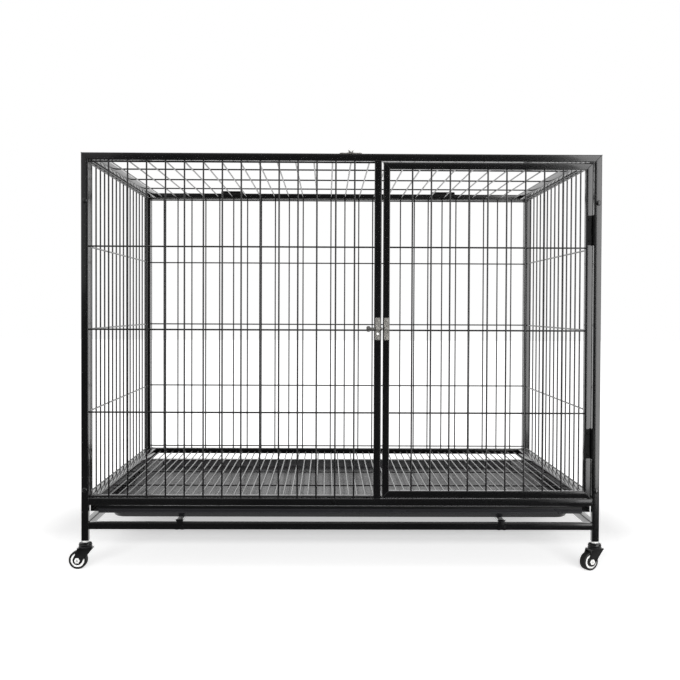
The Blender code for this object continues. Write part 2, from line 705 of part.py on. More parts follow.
def build_tray(cage, helpers):
    """The tray as two pieces, a flat floor and the tapered walls with their rim and front lip."""
    rim_z = (RUNNER_LEDGE_Z + RUNNER_PLATE + GAP, RUNNER_LEDGE_Z + RUNNER_PLATE + GAP + TRAY_WALL)
    pan_front = TRAY_FRONT_Y + TRAY_LIP + GAP
    pan_back = TRAY_BACK_Y - TRAY_RIM
    narrow = TRAY_PAN_HALF - TRAY_TAPER
    shape = bmesh.new()
    low = (-TRAY_RIM_HALF, TRAY_FRONT_Y + GAP, rim_z[0])
    add_box(shape, low, (TRAY_RIM_HALF, TRAY_BACK_Y, rim_z[1]))
    rim = mesh_object("tray_rim", shape, cage, "tray_plastic")
    shape = bmesh.new()
    half = TRAY_RIM_HALF - TRAY_LIP_INSET
    low = (-half, TRAY_FRONT_Y, TRAY_LIP_Z[0])
    add_box(shape, low, (half, TRAY_FRONT_Y + TRAY_LIP, TRAY_LIP_Z[1]))
    lip = helper(mesh_object("tray_lip", shape, helpers))
    shape = bmesh.new()
    body_top = (rim_z[0] + rim_z[1]) / 2
    add_pan(shape, TRAY_PAN_HALF, narrow, pan_front, pan_back, TRAY_BOTTOM_Z, body_top, TRAY_TAPER)
    body = helper(mesh_object("tray_body", shape, helpers))
    shape = bmesh.new()
    wall = TRAY_WALL
    floor = TRAY_BOTTOM_Z + wall
    top = rim_z[1] + wall
    spans = (pan_front + wall, pan_back - wall)
    add_pan(shape, TRAY_PAN_HALF - wall, narrow - wall, *spans, floor, top, TRAY_TAPER)
    under = [face for face in shape.faces if face.normal.z < -0.9]
    sunk = bmesh.ops.extrude_face_region(shape, geom=under)["geom"]
    sunk = [item for item in sunk if isinstance(item, bmesh.types.BMVert)]
    bmesh.ops.translate(shape, verts=sunk, vec=(0, 0, -2 * wall))
    bmesh.ops.delete(shape, geom=under, context="FACES_ONLY")
    hollow = helper(mesh_object("tray_hollow", shape, helpers))
    boolean(rim, body, "UNION")
    boolean(rim, hollow, "DIFFERENCE")
    boolean(rim, lip, "UNION")
    shape = bmesh.new()
    half = narrow - wall - GAP
    front = spans[0] + TRAY_TAPER + GAP
    back = spans[1] - TRAY_TAPER - GAP
    add_box(shape, (-half, front, TRAY_BOTTOM_Z), (half, back, floor))
    return [rim, mesh_object("tray_floor", shape, cage, "tray_plastic")]


def caster(word, side, end, yaw, cage, helpers):
    """One swivel caster: returns its fork, axle and wheel, placed at its corner post."""
    name = f"{word}_caster"
    x, y = side * CORNER[0], end * CORNER[1]
    place = Matrix.Translation((x, y, 0)) @ Matrix.Rotation(math.radians(yaw), 4, "Z")
    race_low = HEAD_TOP_Z + RUNNING_GAP
    shape = bmesh.new()
    add_rod(shape, (0, 0, race_low), (0, 0, race_low + RACE_THICK), HEAD_RADIUS, 16)
    stem = mesh_object(name + "_stem", shape, cage, "zinc")
    shape = bmesh.new()
    nut_top = LEG_BOTTOM_Z - GAP
    add_rod(shape, (0, 0, race_low + RACE_THICK / 2), (0, 0, nut_top), NUT_RADIUS, 6)
    nut = helper(mesh_object(name + "_nut", shape, helpers))
    shape = bmesh.new()
    add_rod(shape, (0, 0, race_low + RACE_THICK / 2), (0, 0, LEG_BOTTOM_Z + STUD_LENGTH), STUD_RADIUS, 10)
    stud = helper(mesh_object(name + "_stud", shape, helpers))
    boolean(stem, nut, "UNION")
    boolean(stem, stud, "UNION")
    for obj in (stem, nut, stud):
        obj.matrix_world = Matrix.Translation((x, y, 0))

    inner = WHEEL_WIDTH / 2 + WHEEL_SIDE_GAP
    outer = inner + FORK_PLATE
    hub = Vector((-CASTER_TRAIL, 0, WHEEL_RADIUS))
    crown_top = CROWN_Z + CROWN_THICK
    shape = bmesh.new()
    add_box(shape, (-CROWN_HALF, -outer, CROWN_Z), (CROWN_HALF, outer, crown_top))
    fork = mesh_object(name + "_fork", shape, cage, "black_paint")
    shape = bmesh.new()
    add_rod(shape, (0, 0, crown_top - GAP), (0, 0, HEAD_TOP_Z), HEAD_RADIUS, 16)
    head = helper(mesh_object(name + "_head", shape, helpers))
    boolean(fork, head, "UNION")
    cheek_loop = [(-CROWN_HALF, CROWN_Z + CROWN_THICK / 2), (CROWN_HALF, CROWN_Z + CROWN_THICK / 2)]
    cheek_loop[1:1] = [
        (hub.x + FORK_EYE * math.cos(angle), hub.z + FORK_EYE * math.sin(angle))
        for angle in (math.radians(180 + 15 * step) for step in range(12))
    ]
    cheeks = []
    for sign in (-1, 1):
        cheek = outline_object(f"{name}_cheek_{sign}", [cheek_loop], FORK_PLATE, helpers)
        stand_facing_y(cheek, sign * (inner + FORK_PLATE / 2))
        cheek.matrix_world = place @ cheek.matrix_world
        helper(cheek)
        boolean(fork, cheek, "UNION")
        cheeks.append(cheek)
    shape = bmesh.new()
    side_reach = outer + AXLE_HEAD_THICK
    along = Vector((0, 1, 0))
    add_rod(shape, hub - along * side_reach * 1.2, hub + along * side_reach * 1.2, AXLE_RADIUS + GAP, 10)
    bore = helper(mesh_object(name + "_bore", shape, helpers))
    boolean(fork, bore, "DIFFERENCE")

    shape = bmesh.new()
    add_rod(shape, hub - along * side_reach, hub + along * side_reach, AXLE_RADIUS, 10)
    axle = mesh_object(name + "_axle", shape, cage, "zinc")
    heads = []
    for sign in (-1, 1):
        shape = bmesh.new()
        near = hub + along * sign * (outer + GAP)
        add_rod(shape, near, hub + along * sign * (side_reach + GAP), AXLE_HEAD, 12)
        heads.append(helper(mesh_object(f"{name}_axle_head_{sign}", shape, helpers)))
        boolean(axle, heads[-1], "UNION")
    shape = bmesh.new()
    half = WHEEL_WIDTH / 2
    add_rod(shape, hub - along * half, hub + along * half, WHEEL_RADIUS, 32)
    wheel = mesh_object(name + "_wheel", shape, cage, "wheel_rubber")
    boolean(wheel, bore, "DIFFERENCE")
    for obj in (fork, head, bore, axle, *heads, wheel):
        obj.matrix_world = place


def hang_on(name, pieces, location):
    """Puts pieces on an empty that stands on their joint's axis."""
    empty = bpy.data.objects.new(name, None)
    bpy.context.scene.collection.objects.link(empty)
    empty.location = location
    bpy.context.view_layer.update()
    for obj in pieces:
        world = obj.matrix_world.copy()
        obj.parent = empty
        obj.matrix_parent_inverse = empty.matrix_world.inverted()
        obj.matrix_world = world


def main():
    clear_scene()
    cage = new_collection("dog_crate")
    helpers = new_collection("cutters")
    helpers.hide_render = True
    bolts = bolt_holes("bolt_holes", helpers)
    studs = stud_holes("stud_holes", helpers)
    build_end_frames(cage, helpers, bolts, studs)
    build_side_frames(cage, bolts)
    build_wall_grilles(cage, helpers)
    build_floor(cage, helpers)
    build_runners(cage)
    build_supports(cage, helpers)
    build_bolts(cage, helpers)
    tray = build_tray(cage, helpers)
    door = build_door(cage, helpers)
    lid = build_lid(cage, helpers)

    door_pin = Vector((INNER_X - DOOR_HINGE_GAP / 2, -HALF_DEPTH - HINGE_BARREL - GAP, 0))
    for z, word in zip(DOOR_HINGE_Z, ("lower", "upper")):
        place = Matrix.Translation(door_pin + Vector((0, 0, z)))
        door.append(hinge(f"{word}_door_hinge", place, cage, helpers))
    lid_pin = Vector((0, INNER_Y - GAP - HINGE_PLATE, TOP_Z + HINGE_BARREL + GAP))
    lid_turn = Matrix(((0, 0, -1, 0), (1, 0, 0, 0), (0, -1, 0, 0), (0, 0, 0, 1)))
    for side, word in ((-1, "left"), (1, "right")):
        x = side * (HALF_WIDTH - LID_HINGE_INSET)
        place = Matrix.Translation(lid_pin + Vector((x, 0, 0))) @ lid_turn
        lid.append(hinge(f"{word}_lid_hinge", place, cage, helpers))

    door_gap = MIDDLE_POST[1] + DOOR_LATCH_GAP / 2
    place = Matrix.Translation((door_gap, -HALF_DEPTH, LATCH_Z))
    keeper, door_bolt = slide_bolt("door_latch", DOOR_BOLT_LENGTH, place, cage, helpers)
    door.append(keeper)
    place = Matrix.Translation((LATCH_X, -INNER_Y + LID_GAP / 2, TOP_Z)) @ lid_turn
    keeper, lid_bolt = slide_bolt("lid_latch", LID_BOLT_LENGTH, place, cage, helpers)
    lid.append(keeper)

    for word, (side, end, yaw) in CASTERS.items():
        caster(word, side, end, yaw, cage, helpers)
    hang_on("door_axis", door, door_pin)
    hang_on("lid_axis", lid, lid_pin)
    hang_on("door_bolt_axis", [door_bolt], (door_gap, -HALF_DEPTH, LATCH_Z))
    hang_on("lid_bolt_axis", [lid_bolt], (LATCH_X, -INNER_Y, TOP_Z))
    hang_on("tray_axis", tray, (0, 0, TRAY_BOTTOM_Z))


main()
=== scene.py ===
"""Looks of a rolling dog crate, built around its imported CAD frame.

Every piece stands where its CAD node stands: rounded square tubes with weld
beads, round welded wire, a moulded tray, butt hinges, slide bolts and casters.
Lengths are in metres. The front faces -Y, the door hinges are on the +X side.
"""

from __future__ import annotations

import json
import logging
import math
from collections.abc import Sequence
from dataclasses import dataclass, field
from enum import Enum

import bmesh
import bpy
from mathutils import Matrix, Vector

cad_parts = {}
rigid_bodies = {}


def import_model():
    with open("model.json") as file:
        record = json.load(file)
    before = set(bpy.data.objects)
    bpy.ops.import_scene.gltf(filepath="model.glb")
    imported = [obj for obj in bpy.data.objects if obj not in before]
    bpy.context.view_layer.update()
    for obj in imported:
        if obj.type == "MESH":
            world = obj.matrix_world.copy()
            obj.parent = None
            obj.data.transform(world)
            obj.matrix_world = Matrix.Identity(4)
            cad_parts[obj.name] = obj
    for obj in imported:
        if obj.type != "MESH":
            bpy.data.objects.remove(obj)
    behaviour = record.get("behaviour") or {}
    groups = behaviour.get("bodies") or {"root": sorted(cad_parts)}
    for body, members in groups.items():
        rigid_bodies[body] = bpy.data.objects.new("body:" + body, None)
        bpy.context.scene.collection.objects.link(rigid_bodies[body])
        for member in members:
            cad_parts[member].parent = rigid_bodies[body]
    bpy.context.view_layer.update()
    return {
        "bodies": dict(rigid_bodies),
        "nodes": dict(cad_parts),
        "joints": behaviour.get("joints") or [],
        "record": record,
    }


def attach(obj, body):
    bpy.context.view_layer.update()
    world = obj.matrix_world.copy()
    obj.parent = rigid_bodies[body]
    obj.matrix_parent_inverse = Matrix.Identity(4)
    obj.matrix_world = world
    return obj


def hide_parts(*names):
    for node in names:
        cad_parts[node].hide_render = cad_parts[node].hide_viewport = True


LOG = logging.getLogger("dog_crate")
MM = 0.001
MERGE_WITHIN = 2e-6
FLAT_BELOW = math.radians(1.0)
SHARP_ABOVE = math.radians(28)

Setting = dict[str, object]
Colour = tuple[float, float, float]
Outline = Sequence[tuple[float, float]]
Rings = Sequence[Sequence[Vector]]
Spots = list[tuple[Vector, Vector]]
Shape = bmesh.types.BMesh
Piece = bpy.types.Object


class Signal:
    """A node's output, which arithmetic turns into Math nodes."""

    def __init__(self, board: NodeBoard, socket: bpy.types.NodeSocket) -> None:
        """Keeps the output socket and the board whose tree holds it."""
        self.board = board
        self.socket = socket

    def _math(self, operation: str, first: object, second: object) -> Signal:
        """Adds a Math node on two terms, each a number or a signal."""
        return self.board.node("ShaderNodeMath", {"operation": operation}, {0: first, 1: second})

    def __add__(self, other: object) -> Signal:
        """Adds another term."""
        return self._math("ADD", self, other)

    def __radd__(self, other: object) -> Signal:
        """Adds this signal to a number."""
        return self._math("ADD", other, self)

    def __sub__(self, other: object) -> Signal:
        """Takes another term away."""
        return self._math("SUBTRACT", self, other)

    def __rsub__(self, other: object) -> Signal:
        """Takes this signal away from a number."""
        return self._math("SUBTRACT", other, self)

    def __mul__(self, other: object) -> Signal:
        """Multiplies by another term."""
        return self._math("MULTIPLY", self, other)

    def fit(self, low: float, high: float, to_low: float = 0.0, to_high: float = 1.0) -> Signal:
        """Stretches low to high onto to_low to to_high, clamped."""
        sockets = {0: self, 1: low, 2: high, 3: to_low, 4: to_high}
        return self.board.node("ShaderNodeMapRange", {"clamp": True}, sockets)


class NodeBoard:
    """A node tree, to which nodes are added by type, settings and sockets."""

    def __init__(self, tree: bpy.types.NodeTree) -> None:
        """Keeps the shader or geometry tree to add to."""
        self.tree = tree

    def feed(self, fed: bpy.types.Node, sockets: dict) -> None:
        """Feeds a node's inputs, by name or index, with a value, a signal or a list of signals."""
        for key, value in sockets.items():
            target = fed.inputs[key]
            for term in value if isinstance(value, list) else [value]:
                if isinstance(term, Signal):
                    self.tree.links.new(term.socket, target)
                else:
                    target.default_value = term

    def raw(self, kind: str, settings: Setting | None = None, sockets: dict | None = None) -> bpy.types.Node:
        """Adds a node, sets it up and feeds its sockets.

        Args:
            kind: The node's type name.
            settings: Its properties, which are set first.
            sockets: What feeds its inputs.

        Returns:
            The node.
        """
        made = self.tree.nodes.new(kind)
        for key, value in (settings or {}).items():
            setattr(made, key, value)
        self.feed(made, sockets or {})
        return made

    def node(
        self, kind: str, settings: Setting | None = None, sockets: dict | None = None, output: int | str = 0
    ) -> Signal:
        """Adds a node as raw does, and hands back one of its outputs, by index or name."""
        return Signal(self, self.raw(kind, settings, sockets).outputs[output])

    def noise(self, where: Signal, scale: float, detail: float = 2.0, rough: float = 0.5) -> Signal:
        """Adds noise from 0 to 1, its scale in features per metre."""
        sockets = {"Vector": where, "Scale": scale, "Detail": detail, "Roughness": rough}
        return self.node("ShaderNodeTexNoise", None, sockets)

    def blend(self, share: Signal | float, first: object, second: object) -> Signal:
        """Mixes two colours or signals: a share of 0 gives the first."""
        sockets = {0: share, 6: opaque(first), 7: opaque(second)}
        return self.node("ShaderNodeMix", {"data_type": "RGBA"}, sockets, 2)

    def stretched(self, where: Signal, scale: Colour) -> Signal:
        """Scales coordinates unevenly, for grain that runs one way."""
        return self.node("ShaderNodeMapping", None, {"Vector": where, "Scale": scale})

    def bump(self, height: Signal, depth: float, strength: float) -> Signal:
        """Adds a bump of a height in 0 to 1, its depth in metres."""
        sockets = {"Strength": strength, "Distance": depth, "Height": height}
        return self.node("ShaderNodeBump", None, sockets)


def opaque(colour: object) -> object:
    """Gives a plain colour its alpha, and leaves a signal as it is."""
    return (*colour, 1.0) if isinstance(colour, tuple) and len(colour) == 3 else colour


@dataclass(frozen=True)
class Finish:
    """What every finish has: a name, a colour and a gloss."""

    name: str
    colour: Colour
    roughness: float

    def make(self) -> bpy.types.Material:
        """Makes the finish's material.

        Returns:
            The material, with its texture nodes in place.
        """
        material = bpy.data.materials.new(self.name)
        material.use_nodes = True
        board = NodeBoard(material.node_tree)
        shader = material.node_tree.nodes["Principled BSDF"]
        where = board.node("ShaderNodeTexCoord", None, None, "Object")
        board.feed(shader, self.surface(board, where))
        return material

    def surface(self, board: NodeBoard, where: Signal) -> dict[str, object]:
        """What feeds each of the shader's sockets, from coordinates in metres."""
        return {"Base Color": opaque(self.colour), "Roughness": self.roughness}


@dataclass(frozen=True)
class PowderCoat(Finish):
    """Glossy black powder coat with a fine orange peel and a little dust."""

    peel_scale: float = 520.0
    peel_depth: float = 0.05 * MM
    dust: float = 0.10
    dust_colour: Colour = (0.16, 0.155, 0.145)
    ior: float = 1.5
    coat: float = 0.35
    coat_roughness: float = 0.06
    cloud_scale: float = 9.0
    speck_scale: float = 1400.0

    def surface(self, board: NodeBoard, where: Signal) -> dict[str, object]:
        """Orange peel, mottled gloss and dust on what faces up.

        Args:
            board: The material's board.
            where: Object coordinates in metres.

        Returns:
            Values and signals by socket name.
        """
        peel = board.noise(where, self.peel_scale, 1.5, 0.45)
        cloud = board.noise(where, self.cloud_scale, 3.0, 0.6)
        speck = board.noise(where, self.speck_scale, 2.0, 0.7)
        normal = board.node("ShaderNodeNewGeometry", None, None, "Normal")
        up = board.node("ShaderNodeSeparateXYZ", None, {0: normal}, "Z")
        settled = up.fit(0.55, 0.98) * cloud.fit(0.42, 0.72) * speck.fit(0.35, 0.75) * self.dust
        lifted = tuple(1.5 * part + 0.0008 for part in self.colour)
        paint = board.blend(cloud.fit(0.3, 0.75, 0.0, 0.6), self.colour, lifted)
        return {
            "Base Color": board.blend(settled, paint, self.dust_colour),
            "Roughness": self.roughness + cloud.fit(0.3, 0.7, 0.0, 0.07) + settled * 0.4,
            "IOR": self.ior,
            "Coat Weight": self.coat,
            "Coat Roughness": self.coat_roughness,
            "Normal": board.bump(peel, self.peel_depth, 0.5),
        }


@dataclass(frozen=True)
class BrushedMetal(Finish):
    """Bare or plated metal with grain along one axis and faint tarnish."""

    grain: Colour = (60.0, 60.0, 4200.0)
    grain_depth: float = 0.02 * MM
    tarnish: Colour = (0.30, 0.27, 0.22)
    metallic: float = 1.0
    cloud_scale: float = 160.0

    def surface(self, board: NodeBoard, where: Signal) -> dict[str, object]:
        """Grain in the gloss and the relief, tarnish in the colour.

        Args:
            board: The material's board.
            where: Object coordinates in metres.

        Returns:
            Values and signals by socket name.
        """
        grain = board.noise(board.stretched(where, self.grain), 1.0, 3.0, 0.6)
        cloud = board.noise(where, self.cloud_scale, 3.0, 0.6)
        stain = cloud.fit(0.52, 0.8, 0.0, 0.45)
        rough = grain.fit(0.25, 0.75, self.roughness - 0.08, self.roughness + 0.12)
        return {
            "Base Color": board.blend(stain, self.colour, self.tarnish),
            "Metallic": self.metallic,
            "Roughness": rough + stain * 0.2,
            "Normal": board.bump(grain, self.grain_depth, 0.35),
        }


@dataclass(frozen=True)
class MouldedPlastic(Finish):
    """Moulded plastic with a pebbled skin."""

    pebble_scale: float = 900.0
    pebble_depth: float = 0.08 * MM
    scuff: Colour = (0.10, 0.10, 0.105)
    scuff_grain: Colour = (14.0, 260.0, 40.0)
    cloud_scale: float = 7.0
    ior: float = 1.5

    def surface(self, board: NodeBoard, where: Signal) -> dict[str, object]:
        """A pebbled relief, with long faint scuffs.

        Args:
            board: The material's board.
            where: Object coordinates in metres.

        Returns:
            Values and signals by socket name.
        """
        pebble = board.noise(where, self.pebble_scale, 2.0, 0.55)
        cloud = board.noise(where, self.cloud_scale, 4.0, 0.6)
        rub = board.noise(board.stretched(where, self.scuff_grain), 1.0, 3.0, 0.65)
        scuffs = rub.fit(0.58, 0.8) * cloud.fit(0.4, 0.7) * 0.5
        return {
            "Base Color": board.blend(scuffs, self.colour, self.scuff),
            "Roughness": self.roughness + cloud.fit(0.3, 0.7, -0.05, 0.06) + scuffs * 0.15,
            "IOR": self.ior,
            "Normal": board.bump(pebble, self.pebble_depth, 0.4),
        }


@dataclass(frozen=True)
class TyreRubber(Finish):
    """Matt black rubber, greyed by floor dust in patches."""

    dust_colour: Colour = (0.11, 0.105, 0.10)
    grain_scale: float = 1600.0
    grain_depth: float = 0.05 * MM
    patch_scale: float = 120.0

    def surface(self, board: NodeBoard, where: Signal) -> dict[str, object]:
        """Dusty patches over a fine grain.

        Args:
            board: The material's board.
            where: Object coordinates in metres.

        Returns:
            Values and signals by socket name.
        """
        grain = board.noise(where, self.grain_scale, 2.0, 0.6)
        patch = board.noise(where, self.patch_scale, 3.0, 0.65)
        dust = patch.fit(0.45, 0.8, 0.0, 0.4)
        return {
            "Base Color": board.blend(dust, self.colour, self.dust_colour),
            "Roughness": self.roughness + dust * 0.2,
            "Normal": board.bump(grain, self.grain_depth, 0.5),
        }


class Coating(Enum):
    """The crate's finishes, each with the record slot that it belongs to."""

    TUBE = ("black_paint", PowderCoat("crate_tube_black", (0.0026, 0.0026, 0.0028), 0.17))
    WIRE = ("black_wire", PowderCoat("crate_wire_black", (0.0028, 0.0028, 0.0030), 0.15, dust=0.05))
    WELD = ("black_paint", PowderCoat("weld_bead_black", (0.0032, 0.0032, 0.0034), 0.30, 900.0, dust=0.05))
    HINGE = (
        "black_paint",
        PowderCoat("hinge_black", (0.0020, 0.0020, 0.0021), 0.42, 760.0, dust=0.03, ior=1.2, coat=0.0),
    )
    TRAY = (
        "tray_plastic",
        MouldedPlastic("tray_charcoal", (0.014, 0.014, 0.0155), 0.24, scuff=(0.045, 0.045, 0.048)),
    )
    TRAY_LIP = (
        "tray_plastic",
        MouldedPlastic("tray_lip_charcoal", (0.015, 0.015, 0.0168), 0.30, scuff=(0.045, 0.045, 0.048)),
    )
    # Painted shade: a darker copy of the tray plastic for the lip's upper band, standing in for the shadow
    # under the floor rail.
    TRAY_PAINTED_SHADE = (
        "tray_plastic",
        MouldedPlastic("tray_edge_painted_shade", (0.0035, 0.0035, 0.0038), 0.40, scuff=(0.008, 0.008, 0.009)),
    )
    NICKEL = ("nickel", BrushedMetal("latch_nickel", (0.43, 0.418, 0.392), 0.44, metallic=0.82))
    BOLT = ("nickel", BrushedMetal("bolt_steel", (0.20, 0.196, 0.188), 0.38, metallic=0.85))
    ZINC = ("zinc", BrushedMetal("caster_zinc", (0.74, 0.74, 0.72), 0.36, (900.0, 900.0, 60.0), metallic=0.7))
    CAP = (
        "zinc",
        BrushedMetal("axle_cap_bright", (0.84, 0.84, 0.83), 0.48, (900.0, 900.0, 60.0), metallic=0.2),
    )
    TYRE = ("wheel_rubber", TyreRubber("tyre_black", (0.0045, 0.0045, 0.0045), 0.60, (0.02, 0.0195, 0.019)))
    WEB = (
        "wheel_rubber",
        MouldedPlastic("wheel_web_white", (0.80, 0.80, 0.79), 0.35, scuff=(0.60, 0.59, 0.57)),
    )

    @property
    def slot(self) -> str:
        """The record's material slot."""
        return self.value[0]

    def material(self) -> bpy.types.Material:
        """The finish's material, made when it is first asked for."""
        return bpy.data.materials.get(self.value[1].name) or self.value[1].make()


class SocketKind(Enum):
    """The kinds of named input that a geometry tree takes."""

    LENGTH = "NodeSocketFloat"
    COUNT = "NodeSocketInt"
    OBJECT = "NodeSocketObject"
    MATERIAL = "NodeSocketMaterial"
    GEOMETRY = "NodeSocketGeometry"


class GrowingTree:
    """A geometry tree with named inputs, whose result becomes a plain mesh."""

    def __init__(self, name: str, inputs: dict[str, SocketKind]) -> None:
        """Makes the tree and its inputs.

        Args:
            name: The tree's name.
            inputs: Each input's name and kind.
        """
        self.tree = bpy.data.node_groups.new(name, "GeometryNodeTree")
        self.board = NodeBoard(self.tree)
        face = self.tree.interface
        face.new_socket(name="Seed mesh", in_out="INPUT", socket_type=SocketKind.GEOMETRY.value)
        self.keys: dict[str, str] = {}
        for label, kind in inputs.items():
            made = face.new_socket(name=label, in_out="INPUT", socket_type=kind.value)
            self.keys[label] = made.identifier
        face.new_socket(name="Grown", in_out="OUTPUT", socket_type=SocketKind.GEOMETRY.value)
        self.entry = self.tree.nodes.new("NodeGroupInput")

    def given(self, label: str) -> Signal:
        """The named input as a signal."""
        return Signal(self.board, self.entry.outputs[label])

    def finish(self, shown: Signal) -> None:
        """Ends the tree in Realize Instances, smooth shading and Set Material.

        Args:
            shown: The geometry to hand out.
        """
        real = self.board.node("GeometryNodeRealizeInstances", None, {0: shown})
        smooth = self.board.node("GeometryNodeSetShadeSmooth", None, {"Geometry": real})
        sockets = {"Geometry": smooth, "Material": self.given("Finish")}
        dressed = self.board.node("GeometryNodeSetMaterial", None, sockets)
        self.board.raw("NodeGroupOutput", None, {0: dressed})

    def grow(
        self, name: str, values: dict[str, object], place: Matrix, seed: bpy.types.Mesh | None = None
    ) -> Piece:
        """Runs the tree and keeps its result as a plain mesh in its place.

        Args:
            name: The new piece's name.
            values: A value for each named input.
            place: Where the result stands.
            seed: The mesh that the tree starts from, if it needs one.

        Returns:
            The piece, at the origin with its place in its mesh.
        """
        carrier = bpy.data.objects.new(name + "_carrier", seed or bpy.data.meshes.new(name + "_seed"))
        bpy.context.scene.collection.objects.link(carrier)
        modifier = carrier.modifiers.new("grow", "NODES")
        modifier.node_group = self.tree
        for label, value in values.items():
            modifier[self.keys[label]] = value
        bpy.context.view_layer.update()
        graph = bpy.context.evaluated_depsgraph_get()
        mesh = bpy.data.meshes.new_from_object(carrier.evaluated_get(graph))
        carrier.modifiers.remove(modifier)
        bpy.data.objects.remove(carrier, do_unlink=True)
        mesh.name = name
        mesh.transform(place)
        piece = bpy.data.objects.new(name, mesh)
        bpy.context.scene.collection.objects.link(piece)
        return piece


def wire_panel_tree() -> GrowingTree:
    """A panel of welded wire: uprights along Y over cross wires along X.

    Returns:
        The tree, with a nugget of weld at each crossing.
    """
    lengths = (
        "Upright pitch", "Upright length", "Cross pitch", "Cross length", "Low edge", "High edge",
        "Wire radius", "Lift", "Nugget",
    )
    kinds = dict.fromkeys(("Uprights", "Cross wires", "Edge wires"), SocketKind.COUNT)
    kinds |= dict.fromkeys(lengths, SocketKind.LENGTH) | {"Finish": SocketKind.MATERIAL}
    tree = GrowingTree("welded_wire_panel", kinds)
    board, given = tree.board, tree.given

    def vector(x: object = 0.0, y: object = 0.0, z: object = 0.0) -> Signal:
        """A vector of numbers or signals."""
        return board.node("ShaderNodeCombineXYZ", None, {0: x, 1: y, 2: z})

    sockets = {"Resolution": 10, "Radius": given("Wire radius")}
    section = board.node("GeometryNodeCurvePrimitiveCircle", None, sockets)

    def wire(half: Signal, along_y: bool) -> Signal:
        """A straight wire, half of it on each side of the origin."""
        ends = (vector(0.0, half * -1), vector(0.0, half)) if along_y else (vector(half * -1), vector(half))
        line = board.node("GeometryNodeCurvePrimitiveLine", None, {"Start": ends[0], "End": ends[1]})
        sockets = {"Curve": line, "Profile Curve": section, "Fill Caps": True}
        return board.node("GeometryNodeCurveToMesh", None, sockets)

    def row(count: Signal, first: Signal, offset: Signal, thing: Signal) -> Signal:
        """Instances of a thing, each an offset from the one before."""
        sockets = {"Count": count, "Start Location": first, "Offset": offset}
        points = board.node("GeometryNodeMeshLine", {"mode": "OFFSET"}, sockets)
        return board.node("GeometryNodeInstanceOnPoints", None, {"Points": points, "Instance": thing})

    def rods(count: str, word: str, along_y: bool, height: object) -> Signal:
        """A centred row of straight wires.

        Args:
            count: The input with their number.
            word: The first word of the inputs with their pitch and length.
            along_y: Whether they run along Y, and not X.
            height: How high the row lies.

        Returns:
            The row as instances.
        """
        pitch = given(word + " pitch")
        start = (given(count) - 1) * pitch * -0.5
        first = vector(start, 0.0, height) if along_y else vector(0.0, start, height)
        offset = vector(pitch) if along_y else vector(0.0, pitch)
        return row(given(count), first, offset, wire(given(word + " length") * 0.5, along_y))

    def crossings(count: Signal, pitch: Signal, middle: object) -> Signal:
        """The points where the uprights meet a row of cross wires.

        Args:
            count: The number of cross wires.
            pitch: Their spacing.
            middle: Where the row's middle lies.

        Returns:
            The points.
        """
        spread = {
            "Size X": (given("Uprights") - 1) * given("Upright pitch"),
            "Size Y": (count - 1) * pitch,
            "Vertices X": given("Uprights"),
            "Vertices Y": count,
        }
        grid = board.node("GeometryNodeMeshGrid", None, spread)
        lift = vector(0.0, middle, given("Lift") * 0.5)
        return board.node("GeometryNodeTransform", None, {"Geometry": grid, "Translation": lift})

    uprights = rods("Uprights", "Upright", True, given("Lift"))
    crosses = rods("Cross wires", "Cross", False, 0.0)
    apart = given("High edge") - given("Low edge")
    rail = wire(given("Cross length") * 0.5, False)
    edges = row(given("Edge wires"), vector(0.0, given("Low edge")), vector(0.0, apart), rail)
    met = [
        crossings(given("Cross wires"), given("Cross pitch"), 0.0),
        crossings(given("Edge wires"), apart, (given("High edge") + given("Low edge")) * 0.5),
    ]
    lifted = board.node("GeometryNodeJoinGeometry", None, {0: met})
    sockets = {"Segments": 8, "Rings": 5, "Radius": given("Nugget")}
    ball = board.node("GeometryNodeMeshUVSphere", None, sockets)
    sockets = {"Points": lifted, "Instance": ball, "Scale": (1.0, 1.0, 0.5)}
    nuggets = board.node("GeometryNodeInstanceOnPoints", None, sockets)
    tree.finish(board.node("GeometryNodeJoinGeometry", None, {0: [uprights, crosses, edges, nuggets]}))
    return tree


def weld_bead_tree() -> GrowingTree:
    """A rippled bead of weld along the edges of its seed mesh.

    Returns:
        The tree.
    """
    kinds = dict.fromkeys(("Bead radius", "Ripple", "Step"), SocketKind.LENGTH)
    kinds |= {"Finish": SocketKind.MATERIAL}
    tree = GrowingTree("weld_bead", kinds)
    board, given = tree.board, tree.given
    paths = board.node("GeometryNodeMeshToCurve", None, {0: given("Seed mesh")})
    sockets = {"Curve": paths, "Length": given("Step")}
    even = board.node("GeometryNodeResampleCurve", {"mode": "LENGTH"}, sockets)
    sockets = {"Resolution": 6, "Radius": given("Bead radius")}
    ring = board.node("GeometryNodeCurvePrimitiveCircle", None, sockets)
    bead = board.node("GeometryNodeCurveToMesh", None, {"Curve": even, "Profile Curve": ring})
    where = board.node("GeometryNodeInputPosition")
    ripple = board.noise(where, 700.0, 2.0, 0.6) - 0.5
    sockets = {0: board.node("GeometryNodeInputNormal"), "Scale": ripple * given("Ripple")}
    push = board.node("ShaderNodeVectorMath", {"operation": "SCALE"}, sockets)
    tree.finish(board.node("GeometryNodeSetPosition", None, {"Geometry": bead, "Offset": push}))
    return tree


